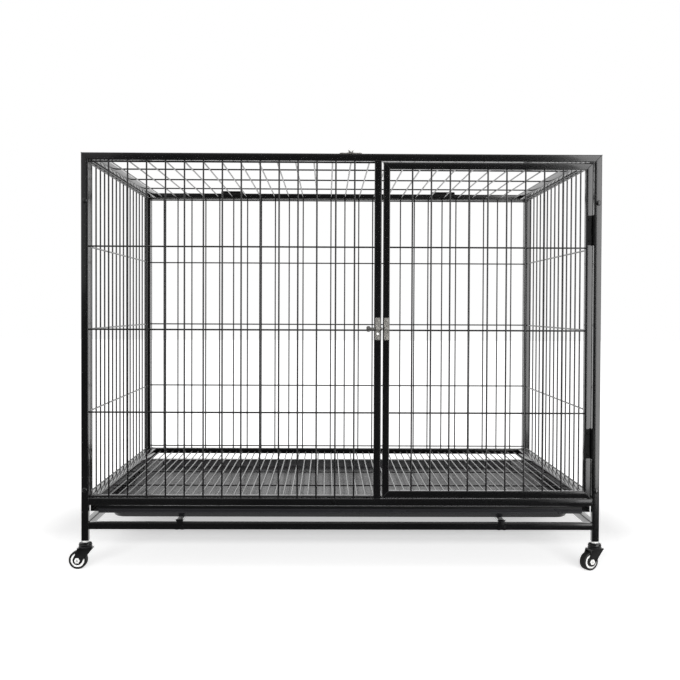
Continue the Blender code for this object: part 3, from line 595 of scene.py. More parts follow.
def fastener_tree() -> GrowingTree:
    """One head on each point of the seed mesh, turned to its facing attribute.

    Returns:
        The tree.
    """
    tree = GrowingTree("fasteners", {"Head": SocketKind.OBJECT, "Finish": SocketKind.MATERIAL})
    board = tree.board
    sockets = {"Object": tree.given("Head"), "As Instance": True}
    head = board.node("GeometryNodeObjectInfo", None, sockets, "Geometry")
    settings = {"data_type": "FLOAT_VECTOR"}
    facing = board.node("GeometryNodeInputNamedAttribute", settings, {"Name": "facing"})
    turn = board.node("FunctionNodeAlignRotationToVector", {"axis": "Z"}, {"Vector": facing})
    sockets = {"Points": tree.given("Seed mesh"), "Instance": head, "Rotation": turn}
    tree.finish(board.node("GeometryNodeInstanceOnPoints", None, sockets))
    return tree


def piece_from(name: str, shape: Shape, coating: Coating, sharp: float = 32.0) -> Piece:
    """Makes a shaded object of a bmesh.

    Args:
        name: The piece's name.
        shape: The mesh so far, which is freed.
        coating: The piece's finish.
        sharp: The angle in degrees past which an edge stays sharp.

    Returns:
        The piece.
    """
    bmesh.ops.recalc_face_normals(shape, faces=shape.faces)
    mesh = bpy.data.meshes.new(name)
    shape.to_mesh(mesh)
    shape.free()
    mesh.polygons.foreach_set("use_smooth", [True] * len(mesh.polygons))
    mesh.set_sharp_from_angle(angle=math.radians(sharp))
    mesh.materials.append(coating.material())
    piece = bpy.data.objects.new(name, mesh)
    bpy.context.scene.collection.objects.link(piece)
    return piece


def settle(piece: Piece, body: str, coating: Coating, *nodes: str) -> None:
    """Lets a piece ride on a body and stand for CAD nodes, and reports it.

    Args:
        piece: The piece.
        body: The body it moves with.
        coating: Its finish, which names its record slot; the slot is looked up and not kept.
        *nodes: The CAD nodes that it stands for.
    """
    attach(piece, body)
    coating.slot
    if nodes:
        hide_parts(*nodes)
    LOG.info("%s rides on %s, %d faces", piece.name, body, len(piece.data.polygons))


def dress(name: str, shape: Shape, coating: Coating, body: str, *nodes: str, sharp: float = 32.0) -> None:
    """Makes a piece as piece_from does, and settles it on its body."""
    settle(piece_from(name, shape, coating, sharp), body, coating, *nodes)


def stood_up(y: float) -> Matrix:
    """Turns a plate into the XZ plane, its back at a given Y and its face towards -Y."""
    return Matrix(((1, 0, 0, 0), (0, 0, -1, y), (0, 1, 0, 0), (0, 0, 0, 1)))


def outward(place: Matrix) -> Vector:
    """The way that local -Y looks in a place."""
    return (place.to_3x3() @ Vector((0, -1, 0))).normalized()


def rounded_rectangle(width: float, depth: float, radius: float, steps: int = 3) -> list[tuple[float, float]]:
    """The outline of a rectangle with rounded corners, anticlockwise.

    Args:
        width: Its size along the first axis.
        depth: Its size along the second axis.
        radius: The corner radius.
        steps: Segments in each corner.

    Returns:
        Points around the centre.
    """
    points = []
    for quarter, (sx, sy) in enumerate(((1, 1), (-1, 1), (-1, -1), (1, -1))):
        centre = (sx * (width / 2 - radius), sy * (depth / 2 - radius))
        for step in range(steps + 1):
            angle = math.pi / 2 * (quarter + step / steps)
            points.append((centre[0] + radius * math.cos(angle), centre[1] + radius * math.sin(angle)))
    return points


def skin(shape: Shape, rings: Rings, close_ends: bool = True, loop: bool = False) -> None:
    """Covers rings of equally many points with faces.

    Args:
        shape: The mesh to add to.
        rings: The rings in order.
        close_ends: Whether to cap the first and last ring.
        loop: Whether the last ring joins the first.
    """
    grid = [[shape.verts.new(point) for point in ring] for ring in rings]
    count = len(grid[0])
    pairs = list(zip(grid, grid[1:]))
    if loop:
        pairs.append((grid[-1], grid[0]))
    for low, high in pairs:
        for i in range(count):
            j = (i + 1) % count
            shape.faces.new((low[i], low[j], high[j], high[i]))
    if close_ends:
        shape.faces.new(grid[0])
        shape.faces.new(list(reversed(grid[-1])))


def lathe(shape: Shape, profile: Outline, place: Matrix, sides: int, loop: bool = False) -> None:
    """Turns a profile of radius and height about Z.

    Args:
        shape: The mesh to add to.
        profile: Points as radius and height.
        place: Where the turned shape stands.
        sides: Segments round the axis.
        loop: Whether the profile is a closed loop clear of the axis.
    """
    rings = []
    for radius, height in profile:
        ring = []
        for side in range(sides):
            angle = 2 * math.pi * side / sides
            ring.append(place @ Vector((radius * math.cos(angle), radius * math.sin(angle), height)))
        rings.append(ring)
    skin(shape, rings, not loop, loop)


def plate(shape: Shape, outline: Outline, thickness: float, place: Matrix, edge: float) -> None:
    """Adds a flat plate with softened edges.

    Args:
        shape: The mesh to add to.
        outline: Its outline in X and Y, anticlockwise and convex.
        thickness: Its size along Z, from 0 up.
        place: Where it stands.
        edge: How much its edges are broken.
    """
    centre = Vector((sum(p[0] for p in outline), sum(p[1] for p in outline), 0.0)) / len(outline)
    rings = []
    for height, inset in ((0.0, edge), (edge, 0.0), (thickness - edge, 0.0), (thickness, edge)):
        ring = []
        for x, y in outline:
            out = Vector((x, y, 0.0)) - centre
            point = centre + out * max(0.0, 1 - inset / max(out.length, 1e-6))
            ring.append(place @ Vector((point.x, point.y, height)))
        rings.append(ring)
    skin(shape, rings)


@dataclass(frozen=True)
class Cut:
    """One end of a tube: its centre and the normal of its end plane."""

    at: Vector
    normal: Vector


@dataclass
class SquareTube:
    """A straight square tube with rounded edges between two cuts."""

    start: Cut
    end: Cut
    size: float
    corner: float = 0.0019

    def rings(self) -> tuple[list[Vector], list[Vector]]:
        """The outlines of its two ends.

        Returns:
            The ring at the start and the ring at the end.
        """
        run = (self.end.at - self.start.at).normalized()
        side = Vector((0, 0, 1)) if abs(run.z) < 0.5 else Vector((0, 1, 0))
        other = run.cross(side)
        ends: tuple[list[Vector], list[Vector]] = ([], [])
        for u, v in rounded_rectangle(self.size, self.size, self.corner):
            offset = side * u + other * v
            for ring, cut in zip(ends, (self.start, self.end)):
                slide = -offset.dot(cut.normal) / run.dot(cut.normal)
                ring.append(cut.at + offset + run * slide)
        return ends

    def build(self, shape: Shape) -> None:
        """Adds the tube to a mesh."""
        skin(shape, self.rings())


@dataclass
class TubeFrame:
    """Tubes welded into one frame, with a bead along each joint."""

    node: str
    body: str
    size: float
    tubes: list[SquareTube] = field(default_factory=list)
    seams: list[list[Vector]] = field(default_factory=list)

    def _add(self, start: Cut, end: Cut) -> SquareTube:
        """Adds the tube between two cuts."""
        self.tubes.append(SquareTube(start, end, self.size))
        return self.tubes[-1]

    def ring(self, low: Vector, high: Vector) -> None:
        """Adds a flat rectangle of tubes with mitred corners.

        Args:
            low: Its lowest corner, on the tubes' centre line.
            high: The corner across from it, level with it along one axis.
        """
        near, far = low.copy(), high.copy()
        axis = next(index for index in range(3) if low[index] != high[index])
        near[axis], far[axis] = high[axis], low[axis]
        corners = [low, near, high, far]
        runs = [(corners[(i + 1) % 4] - corners[i]).normalized() for i in range(4)]
        cuts = [Cut(corners[i], (runs[i] + runs[i - 1]).normalized()) for i in range(4)]
        for i in range(4):
            self.seams.append(self._add(cuts[i], cuts[(i + 1) % 4]).rings()[0])

    def bar(self, start: Vector, end: Vector) -> None:
        """Adds one tube between two points, with square ends, welded at both."""
        run = (end - start).normalized()
        self.seams += self._add(Cut(start, run), Cut(end, run)).rings()

    def bent(self, points: Sequence[Vector]) -> None:
        """Adds an open run of tubes with mitred corners between its ends.

        Args:
            points: The corners of its centre line.
        """
        runs = [(b - a).normalized() for a, b in zip(points, points[1:])]
        cuts = [Cut(points[0], runs[0])]
        cuts += [Cut(p, (a + b).normalized()) for p, a, b in zip(points[1:], runs, runs[1:])]
        cuts.append(Cut(points[-1], runs[-1]))
        tubes = [self._add(first, last) for first, last in zip(cuts, cuts[1:])]
        self.seams += [tube.rings()[0] for tube in tubes[1:]]

    def build(self, beads: GrowingTree) -> None:
        """Makes the tubes and their beads.

        Args:
            beads: The tree that lays a bead.
        """
        shape = bmesh.new()
        for tube in self.tubes:
            tube.build(shape)
        dress(self.node + "_tubes", shape, Coating.TUBE, self.body, self.node)
        seed = bpy.data.meshes.new(self.node + "_seams")
        points: list[Vector] = []
        edges: list[tuple[int, int]] = []
        for ring in self.seams:
            first = len(points)
            points += ring
            edges += [(first + i, first + (i + 1) % len(ring)) for i in range(len(ring))]
        seed.from_pydata(points, edges, [])
        values = {
            "Bead radius": 0.0008,
            "Ripple": 0.0006,
            "Step": 0.0011,
            "Finish": Coating.WELD.material(),
        }
        bead = beads.grow(self.node + "_welds", values, Matrix.Identity(4), seed)
        settle(bead, self.body, Coating.WELD)


@dataclass
class CrateSizes:
    """The crate's own sizes, as its CAD frame has them."""

    half_width: float = 0.546
    half_depth: float = 0.362
    top: float = 0.875
    leg_bottom: float = 0.060
    base_rail: float = 0.084
    floor_rail: float = 0.135
    tube: float = 0.015
    gap: float = 0.0003
    lid_gap: float = 0.003
    lid_tube: float = 0.014
    floor_gap: float = 0.0027
    floor_tube: float = 0.0145
    floor_top: float = 0.1525
    door_tube: float = 0.014
    door_x: tuple[float, float] = (0.087, 0.527)
    door_z: tuple[float, float] = (0.1525, 0.857)
    middle_post: float = 0.076
    wire_inset: float = 0.002
    front_insets: tuple[float, float] = (0.0025, 0.0025)
    wall_insets: tuple[float, float] = (0.007, 0.0025)

    @property
    def inner_x(self) -> float:
        """Half the clear width between the posts."""
        return self.half_width - self.tube

    @property
    def inner_y(self) -> float:
        """Half the clear depth between the end frames."""
        return self.half_depth - self.tube

    @property
    def post_x(self) -> float:
        """The middle of a corner post."""
        return self.half_width - self.tube / 2

    @property
    def end_y(self) -> float:
        """The middle of an end frame."""
        return self.half_depth - self.tube / 2

    @property
    def side_half(self) -> float:
        """Half the length of a side frame."""
        return self.inner_y - self.gap

    @property
    def window(self) -> tuple[float, float]:
        """The clear height between floor rail and top rail."""
        return self.floor_rail + self.tube, self.top - self.tube


@dataclass
class Cage:
    """The tube frames: those that carry everything else, the door's and the lid's."""

    sizes: CrateSizes

    def build(self, beads: GrowingTree) -> None:
        """Builds the end and side frames, base rails, floor frame, door frame and lid frame.

        Args:
            beads: The tree that lays a bead.
        """
        for node, end in (("front_frame", -1), ("back_frame", 1)):
            self._end_frame(node, end * self.sizes.end_y).build(beads)
        for word, side in (("left", -1), ("right", 1)):
            self._side_frame(word, side).build(beads)
            self._base_rail(word, side).build(beads)
        s = self.sizes
        self._flat_frame("floor_frame", "frame", s.floor_tube, s.floor_gap, s.floor_top).build(beads)
        self._door_frame().build(beads)
        self._flat_frame("lid_frame", "lid", s.lid_tube, s.lid_gap, s.top).build(beads)

    def _end_frame(self, node: str, y: float) -> TubeFrame:
        """Lays out the front or the rear frame.

        Args:
            node: The CAD node it stands for.
            y: The middle of the frame.

        Returns:
            The frame.
        """
        s = self.sizes
        half = s.tube / 2
        frame = TubeFrame(node, "frame", s.tube)
        post, top = s.post_x, s.top - half
        path = ((-post, s.leg_bottom), (-post, top), (post, top), (post, s.leg_bottom))
        frame.bent([Vector((x, y, z)) for x, z in path])
        for low in (s.base_rail, s.floor_rail):
            frame.bar(Vector((-s.inner_x, y, low + half)), Vector((s.inner_x, y, low + half)))
        if node == "front_frame":
            x = s.middle_post
            frame.bar(Vector((x, y, s.window[0])), Vector((x, y, s.window[1])))
        return frame

    def _side_frame(self, word: str, side: int) -> TubeFrame:
        """Lays out a side frame.

        Args:
            word: The side as a word in its name.
            side: -1 for the left side, 1 for the right.

        Returns:
            The frame.
        """
        s = self.sizes
        half = s.tube / 2
        x, y = side * s.post_x, s.side_half - half
        low, high = s.floor_rail + half, s.top - half
        frame = TubeFrame(f"{word}_side_frame", "frame", s.tube)
        frame.ring(Vector((x, -y, low)), Vector((x, y, high)))
        return frame

    def _base_rail(self, word: str, side: int) -> TubeFrame:
        """Lays out a base side rail.

        Args:
            word: The side as a word in its name.
            side: -1 for the left side, 1 for the right.

        Returns:
            The rail.
        """
        s = self.sizes
        x, z = side * s.post_x, s.base_rail + s.tube / 2
        frame = TubeFrame(f"{word}_base_rail", "frame", s.tube)
        frame.bar(Vector((x, -s.side_half, z)), Vector((x, s.side_half, z)))
        return frame

    def _flat_frame(self, node: str, body: str, tube: float, gap: float, top: float) -> TubeFrame:
        """Lays out the level frame of the floor or the lid.

        Args:
            node: The CAD node it stands for.
            body: The body it moves with.
            tube: The size of its tube.
            gap: The gap at its sides.
            top: The height of its top face.

        Returns:
            The frame.
        """
        s, half = self.sizes, tube / 2
        x, y, z = s.inner_x - gap - half, s.inner_y - s.lid_gap - half, top - half
        frame = TubeFrame(node, body, tube)
        frame.ring(Vector((-x, -y, z)), Vector((x, y, z)))
        return frame

    def _door_frame(self) -> TubeFrame:
        """Lays out the door's frame, flush with the front."""
        s, half = self.sizes, self.sizes.door_tube / 2
        low, high = (Vector((x, half - s.half_depth, z)) for x, z in zip(s.door_x, s.door_z))
        inset = Vector((half, 0, half))
        frame = TubeFrame("door_frame", "door", s.door_tube)
        frame.ring(low + inset, high - inset)
        return frame


class Facing(Enum):
    """Which way a wire panel's uprights look."""

    FRONT = Matrix(((1, 0, 0, 0), (0, 0, -1, 0), (0, 1, 0, 0), (0, 0, 0, 1)))
    BACK = Matrix(((-1, 0, 0, 0), (0, 0, 1, 0), (0, 1, 0, 0), (0, 0, 0, 1)))
    LEFT = Matrix(((0, 0, -1, 0), (-1, 0, 0, 0), (0, 1, 0, 0), (0, 0, 0, 1)))
    RIGHT = Matrix(((0, 0, 1, 0), (1, 0, 0, 0), (0, 1, 0, 0), (0, 0, 0, 1)))
    UP = Matrix(((1, 0, 0, 0), (0, 1, 0, 0), (0, 0, 1, 0), (0, 0, 0, 1)))
    DOWN = Matrix(((-1, 0, 0, 0), (0, 1, 0, 0), (0, 0, -1, 0), (0, 0, 0, 1)))


@dataclass
class WirePanel:
    """One panel of welded wire inside a frame's window."""

    node: str
    body: str
    facing: Facing
    centre: Vector
    width: float
    height: float
    pitch: float = 0.0397
    margin: float = 0.030
    cross_pitch: float = 0.1747
    wire: float = 0.0035
    bite: float = 0.0005
    sink: float = 0.0008
    insets: tuple[float, ...] = ()

    def build(self, panels: GrowingTree) -> None:
        """Grows the panel's wires and their welds.

        Args:
            panels: The tree that makes welded wire.
        """
        count = int((self.width - 2 * self.margin) / self.pitch) + 1
        values = {
            "Uprights": count,
            "Upright pitch": self.pitch,
            "Upright length": self.height + 2 * self.sink,
            "Cross wires": 3,
            "Cross pitch": self.cross_pitch,
            "Cross length": self.width + 2 * self.sink,
            "Edge wires": len(self.insets),
            "Low edge": self.insets[0] - self.height / 2 if self.insets else 0.0,
            "High edge": self.height / 2 - self.insets[1] if self.insets else 0.0,
            "Wire radius": self.wire / 2,
            "Lift": self.wire - self.bite,
            "Nugget": self.wire * 0.62,
            "Finish": Coating.WIRE.material(),
        }
        place = Matrix.Translation(self.centre) @ self.facing.value
        settle(panels.grow(self.node + "_wires", values, place), self.body, Coating.WIRE, self.node)


@dataclass
class Wirework:
    """All the crate's wire panels."""

    sizes: CrateSizes

    def build(self, panels: GrowingTree) -> None:
        """Builds the walls', floor's, lid's and door's wires.

        Args:
            panels: The tree that makes welded wire.
        """
        s = self.sizes
        low, high = s.window
        tall, middle = high - low, (low + high) / 2
        left_end = s.middle_post - s.tube / 2
        x, y = s.post_x - s.wire_inset, s.end_y - s.wire_inset
        front = Vector(((left_end - s.inner_x) / 2, -y, middle))
        side_span = 2 * (s.side_half - s.tube)
        walls = (
            ("front_grille", Facing.FRONT, front, left_end + s.inner_x, s.front_insets),
            ("back_grille", Facing.BACK, Vector((0, y, middle)), 2 * s.inner_x, s.wall_insets),
            ("left_side_grille", Facing.LEFT, Vector((-x, 0, middle)), side_span, s.wall_insets),
            ("right_side_grille", Facing.RIGHT, Vector((x, 0, middle)), side_span, s.wall_insets),
        )
        for node, facing, centre, span, insets in walls:
            WirePanel(node, "frame", facing, centre, span, tall, insets=insets).build(panels)
        wide, deep = s.inner_x - s.floor_gap - s.floor_tube, s.inner_y - s.lid_gap - s.floor_tube
        at = Vector((0, 0, s.floor_top - s.floor_tube / 2 - s.wire_inset))
        floor = WirePanel(
            "floor_grid", "frame", Facing.UP, at, 2 * wide, 2 * deep,
            pitch=0.0178, margin=0.010, cross_pitch=0.178, wire=0.0032,
        )
        floor.build(panels)
        wide, deep = s.inner_x - s.lid_gap - s.lid_tube, s.inner_y - s.lid_gap - s.lid_tube
        at = Vector((0, 0, s.top - s.lid_tube / 2))
        lid = WirePanel(
            "lid_grille", "lid", Facing.DOWN, at, 2 * wide, 2 * deep, margin=0.015, cross_pitch=0.172
        )
        lid.build(panels)
        self._door(middle).build(panels)

    def _door(self, middle: float) -> WirePanel:
        """Lays out the door's panel, whose cross wires line up with the wall's.

        Args:
            middle: The middle height of the wall's window.

        Returns:
            The panel, centred on that height.
        """
        s = self.sizes
        wide, tall = (high - low - 2 * s.door_tube for low, high in (s.door_x, s.door_z))
        at = Vector((sum(s.door_x) / 2, -s.half_depth + s.door_tube / 2 + s.wire_inset, middle))
        off = abs(middle - sum(s.door_z) / 2)
        return WirePanel(
            "door_grille", "door", Facing.FRONT, at, wide, tall - 2 * off, sink=WirePanel.sink + off
        )


@dataclass
class Tray:
    """The pull-out tray: a rounded pan with a flat rim and a front lip."""

    half_width: float = 0.523
    front: float = -0.3517
    back: float = 0.330
    rim: float = 0.035
    front_rim: float = 0.003
    rim_under: float = 0.1208
    rim_top: float = 0.1233
    bottom: float = 0.1064
    wall: float = 0.0025
    taper: float = 0.0075
    fillet: float = 0.0022
    lip_half: float = 0.512
    lip_front: float = -0.352
    lip: tuple[float, float] = (0.117, 0.132)
    lip_thick: float = 0.003
    lip_step: float = 0.1262

    def _ring(self, inset: float, near: float, radius: float, height: float) -> list[Vector]:
        """One rounded rectangle of the tray's skin.

        Args:
            inset: How far it lies inside the tray's sides and back.
            near: How far it lies inside the tray's front.
            radius: Its corner radius.
            height: Its height.

        Returns:
            Its points.
        """
        front, back = self.front + near, self.back - inset
        outline = rounded_rectangle(2 * (self.half_width - inset), back - front, radius, 8)
        return [Vector((x, (front + back) / 2 + y, height)) for x, y in outline]

    def build(self) -> None:
        """Builds the pan from its upper and lower skin, and its lip."""
        fillet, wall, taper = self.fillet, self.wall, self.taper
        rim_under, rim_top = self.rim_under, self.rim_top
        edge, under = (0.0, 0.0), (self.rim, self.front_rim)
        inner = (self.rim + wall, self.front_rim + wall)
        floor = self.bottom + wall
        upper_skin = (
            (edge, 0.0006, 0.010, rim_under),
            (edge, 0.0, 0.0106, rim_under + 0.0008),
            (edge, 0.0, 0.0106, rim_top - 0.0008),
            (edge, 0.0007, 0.010, rim_top),
            (inner, -0.0006, 0.016, rim_top),
            (inner, -0.0001, 0.017, rim_top - 0.0006),
            (inner, 0.0008, 0.018, rim_top - 0.0025),
            (inner, taper - fillet * 0.7, 0.022, floor + fillet),
            (inner, taper, 0.023, floor + fillet * 0.3),
            (inner, taper + fillet, 0.024, floor),
        )
        lower_skin = (
            (edge, 0.0006, 0.010, rim_under),
            (under, -0.001, 0.016, rim_under),
            (under, 0.0004, 0.017, rim_under - 0.001),
            (under, taper - fillet, 0.021, self.bottom + fillet),
            (under, taper, 0.022, self.bottom + fillet * 0.3),
            (under, taper + fillet, 0.023, self.bottom),
        )
        shape = bmesh.new()
        for rows in (upper_skin, lower_skin):
            rings = [self._ring(side + more, near + more, *rest) for (side, near), more, *rest in rows]
            skin(shape, rings, close_ends=False)
            shape.faces.new([shape.verts.new(point) for point in rings[-1]])
        bmesh.ops.remove_doubles(shape, verts=shape.verts, dist=1e-6)
        dress("tray_pan", shape, Coating.TRAY, "tray", "tray_floor", "tray_rim")
        self._front_lip()

    def _front_lip(self) -> None:
        """Builds the lip along the tray's front, stepped, with a rolled lower edge; its upper band is
        coloured darker than the tray as painted shade under the floor rail.
        """
        low, high = self.lip
        deep, step = self.lip_thick, self.lip_step
        middle = (low + high) / 2
        lower = [
            (deep, low), (0.0009, low), (0.0003, low + 0.0002), (0.0, low + 0.0007),
            (0.0002, low + 0.0012), (0.0007, low + 0.0017), (0.0007, step - 0.0009),
            (0.0004, step - 0.0003), (0.0009, step), (deep, step),
        ]
        upper = [
            (deep, step), (0.0013, step), (0.0013, high - 0.0011),
            (0.0009, high - 0.0006), (0.0011, high - 0.0001), (0.0016, high),
            (deep - 0.0006, high), (deep, high - 0.0006),
        ]
        # The upper band's darker finish is painted shade under the floor rail; the lower band keeps about the
        # tray's own colour.
        bands = {"tray_front_lip": (lower, Coating.TRAY_LIP), "tray_front_edge": (upper, Coating.TRAY_PAINTED_SHADE)}
        for name, (section, coating) in bands.items():
            shape = bmesh.new()
            rings = []
            for x, shrink in ((-1.0, 0.85), (-0.9992, 1.0), (0.9992, 1.0), (1.0, 0.85)):
                ring = []
                for y, z in section:
                    across = self.lip_front + deep / 2 + (y - deep / 2) * shrink
                    ring.append(Vector((x * self.lip_half, across, middle + (z - middle) * shrink)))
                rings.append(ring)
            skin(shape, rings)
            dress(name, shape, coating, "tray")


def soften(frame: dict, node: str, body: str, width: float) -> None:
    """Copies a CAD node's mesh, merges it, breaks its edges and coats it like the tubes.

    Args:
        node: The CAD node.
        body: The body it moves with.
        width: The width of the broken edges.
    """
    shape = bmesh.new()
    shape.from_mesh(frame["nodes"][node].data)
    bmesh.ops.remove_doubles(shape, verts=shape.verts, dist=MERGE_WITHIN)
    bmesh.ops.dissolve_limit(shape, angle_limit=FLAT_BELOW, verts=shape.verts, edges=shape.edges)
    edges = [e for e in shape.edges if len(e.link_faces) == 2 and e.calc_face_angle() > SHARP_ABOVE]
    bmesh.ops.bevel(
        shape, geom=edges, offset=width, offset_type="OFFSET", segments=2, profile=0.6,
        affect="EDGES", clamp_overlap=True,
    )
    dress(node + "_softened", shape, Coating.TUBE, body, node)


@dataclass(frozen=True)
class Head:
    """The turned head of a bolt, rivet or screw, with a hexagonal socket."""

    name: str
    profile: Outline
    socket: float

    def make(self) -> Piece:
        """Turns the head and sinks its socket.

        Returns:
            The head, to be set on points and then dropped.
        """
        shape = bmesh.new()
        lathe(shape, self.profile, Matrix.Identity(4), 24)
        top, socket = max(height for _, height in self.profile), self.socket
        steps = ((socket * 1.12, top + 0.00004), (socket, top - 0.0001), (socket * 0.96, top - 0.0014))
        corners = [math.pi / 3 * corner for corner in range(6)]
        rings = []
        for radius, height in steps:
            rings.append([Vector((radius * math.cos(a), radius * math.sin(a), height)) for a in corners])
        skin(shape, rings, close_ends=False)
        shape.faces.new([shape.verts.new(point) for point in rings[-1]])
        return piece_from(self.name, shape, Coating.TUBE)


SCREW = Head(
    "pan_head",
    ((0.0, -0.0002), (0.0027, -0.0002), (0.0028, 0.0002), (0.0024, 0.0008), (0.0014, 0.0011), (0.0, 0.0012)),
    0.0010,
)


@dataclass
class Fasteners:
    """Sets heads on points by a geometry tree."""

    tree: GrowingTree

    def place(self, name: str, head: Head, spots: Spots, body: str, coating: Coating, *nodes: str) -> None:
        """Sets a head on each spot.

        Args:
            name: The new piece's name.
            head: The head.
            spots: Each head's seat and the way it looks.
            body: The body they move with.
            coating: Their finish.
            *nodes: The CAD nodes that they stand for.
        """
        made = head.make()
        seed = bpy.data.meshes.new(name + "_seats")
        seed.from_pydata([at for at, _ in spots], [], [])
        facing = seed.attributes.new("facing", "FLOAT_VECTOR", "POINT")
        facing.data.foreach_set("vector", [part for _, way in spots for part in way])
        values = {"Head": made, "Finish": coating.material()}
        settle(self.tree.grow(name, values, Matrix.Identity(4), seed), body, coating, *nodes)
        bpy.data.objects.remove(made, do_unlink=True)


@dataclass
class FrameBolts:
    """The button-headed bolts through the corner posts, and the floor rail's rivet."""

    sizes: CrateSizes
    heights: tuple[float, float] = (0.167, 0.774)
    radius: float = 0.0055
    height: float = 0.003
    socket: float = 0.0021
    rivet_x: float = -0.016
    rivet_radius: float = 0.0047
    rivet_height: float = 0.0012
    rivet_socket: float = 0.0016

    def build(self, fasteners: Fasteners) -> None:
        """Sets all eight heads, and the rivet in the front floor rail.

        Args:
            fasteners: What sets heads.
        """
        r, h = self.radius, self.height
        dome = [
            (0.0, 0.0), (r * 0.98, 0.0), (r, 0.0004), (r * 0.98, 0.0010),
            (r * 0.88, h * 0.62), (r * 0.66, h * 0.9), (r * 0.45, h), (0.0, h),
        ]
        head = Head("button_head", dome, self.socket)
        spots, nodes = [], []
        for end, end_word in ((-1, "front"), (1, "rear")):
            for side, side_word in ((-1, "left"), (1, "right")):
                for z, height_word in zip(self.heights, ("lower", "upper")):
                    at = Vector((side * self.sizes.post_x, end * self.sizes.half_depth, z))
                    spots.append((at, Vector((0, end, 0))))
                    nodes.append(f"{end_word}_{side_word}_{height_word}_bolt")
        fasteners.place("frame_bolt_heads", head, spots, "frame", Coating.TUBE, *nodes)
        r, h = self.rivet_radius, self.rivet_height
        flat = [(0.0, 0.0), (r, 0.0), (r, h * 0.4), (r * 0.93, h * 0.8), (r * 0.82, h), (0.0, h)]
        rivet = Head("flat_rivet", flat, self.rivet_socket)
        face = Vector((self.rivet_x, -self.sizes.half_depth, self.sizes.floor_rail + self.sizes.tube / 2))
        fasteners.place("floor_rail_rivet", rivet, [(face, Vector((0, -1, 0)))], "frame", Coating.HINGE)


@dataclass
class ButtHinge:
    """A black butt hinge, drawn with its pin on local Z as the CAD has it."""

    name: str
    moving_body: str
    place: Matrix
    height: float = 0.062
    barrel: float = 0.004
    sheet: float = 0.0015
    leaf: float = 0.013
    gap: float = 0.0003
    corner: float = 0.0022
    screw_share: float = 0.72

    def build(self, fasteners: Fasteners) -> None:
        """Builds both leaves, their knuckles, the pin and the screws.

        Args:
            fasteners: What sets heads.
        """
        third, half = self.height / 6, self.height / 2
        face, sheet = self.barrel + self.gap, self.sheet
        fixed = bmesh.new()
        for sign in (-1, 1):
            low, high = sorted((sign * (third + self.gap), sign * half))
            self._knuckle(fixed, low, high)
            outline = [(0.0, 0.0), (sheet, 0.0), (sheet, face + 0.0008), (0.0, face + 0.0008)]
            plate(fixed, outline, high - low, self.place @ Matrix.Translation((0, 0, low)), 0.0001)
        outline = [(0.0, face), (sheet, face), (sheet, face + self.leaf), (0.0, face + self.leaf)]
        plate(fixed, outline, self.height, self.place @ Matrix.Translation((0, 0, -half)), 0.0002)
        crown = [
            (0.0, half - 0.001), (0.0030, half - 0.001), (0.0030, half + 0.0003),
            (0.0026, half + 0.0009), (0.0014, half + 0.0012), (0.0, half + 0.0013),
        ]
        for turn in (Matrix.Rotation(math.pi, 4, "X"), Matrix.Identity(4)):
            lathe(fixed, crown, self.place @ turn, 24)
        dress(self.name + "_fixed", fixed, Coating.HINGE, "frame", self.name + "_fixed_leaf")
        moving = bmesh.new()
        self._knuckle(moving, -third, third)
        near = self.barrel + 2 * self.gap
        wide = self.barrel / 2 + self.leaf - near
        turn = stood_up(self.barrel)
        outline = [(x - near - wide / 2, z) for x, z in rounded_rectangle(wide, self.height, self.corner, 4)]
        plate(moving, outline, sheet, self.place @ turn, 0.0003)
        outline = [(-near - 0.001, -third), (-0.0012, -third), (-0.0012, third), (-near - 0.001, third)]
        plate(moving, outline, sheet, self.place @ turn, 0.0002)
        dress(self.name + "_moving", moving, Coating.HINGE, self.moving_body, self.name + "_moving_leaf")
        seats = []
        for z in (-half * self.screw_share, half * self.screw_share):
            seat = self.place @ Vector((-near - wide / 2, self.barrel - sheet, z))
            seats.append((seat, outward(self.place)))
        fasteners.place(self.name + "_screws", SCREW, seats, self.moving_body, Coating.HINGE)

    def _knuckle(self, shape: Shape, low: float, high: float) -> None:
        """Adds one knuckle with chamfered ends.

        Args:
            shape: The mesh to add to.
            low: Its lower end.
            high: Its upper end.
        """
        r, c = self.barrel, 0.0004
        profile = [(0.0, low), (r - c, low), (r, low + c), (r, high - c), (r - c, high), (0.0, high)]
        lathe(shape, profile, self.place, 32)


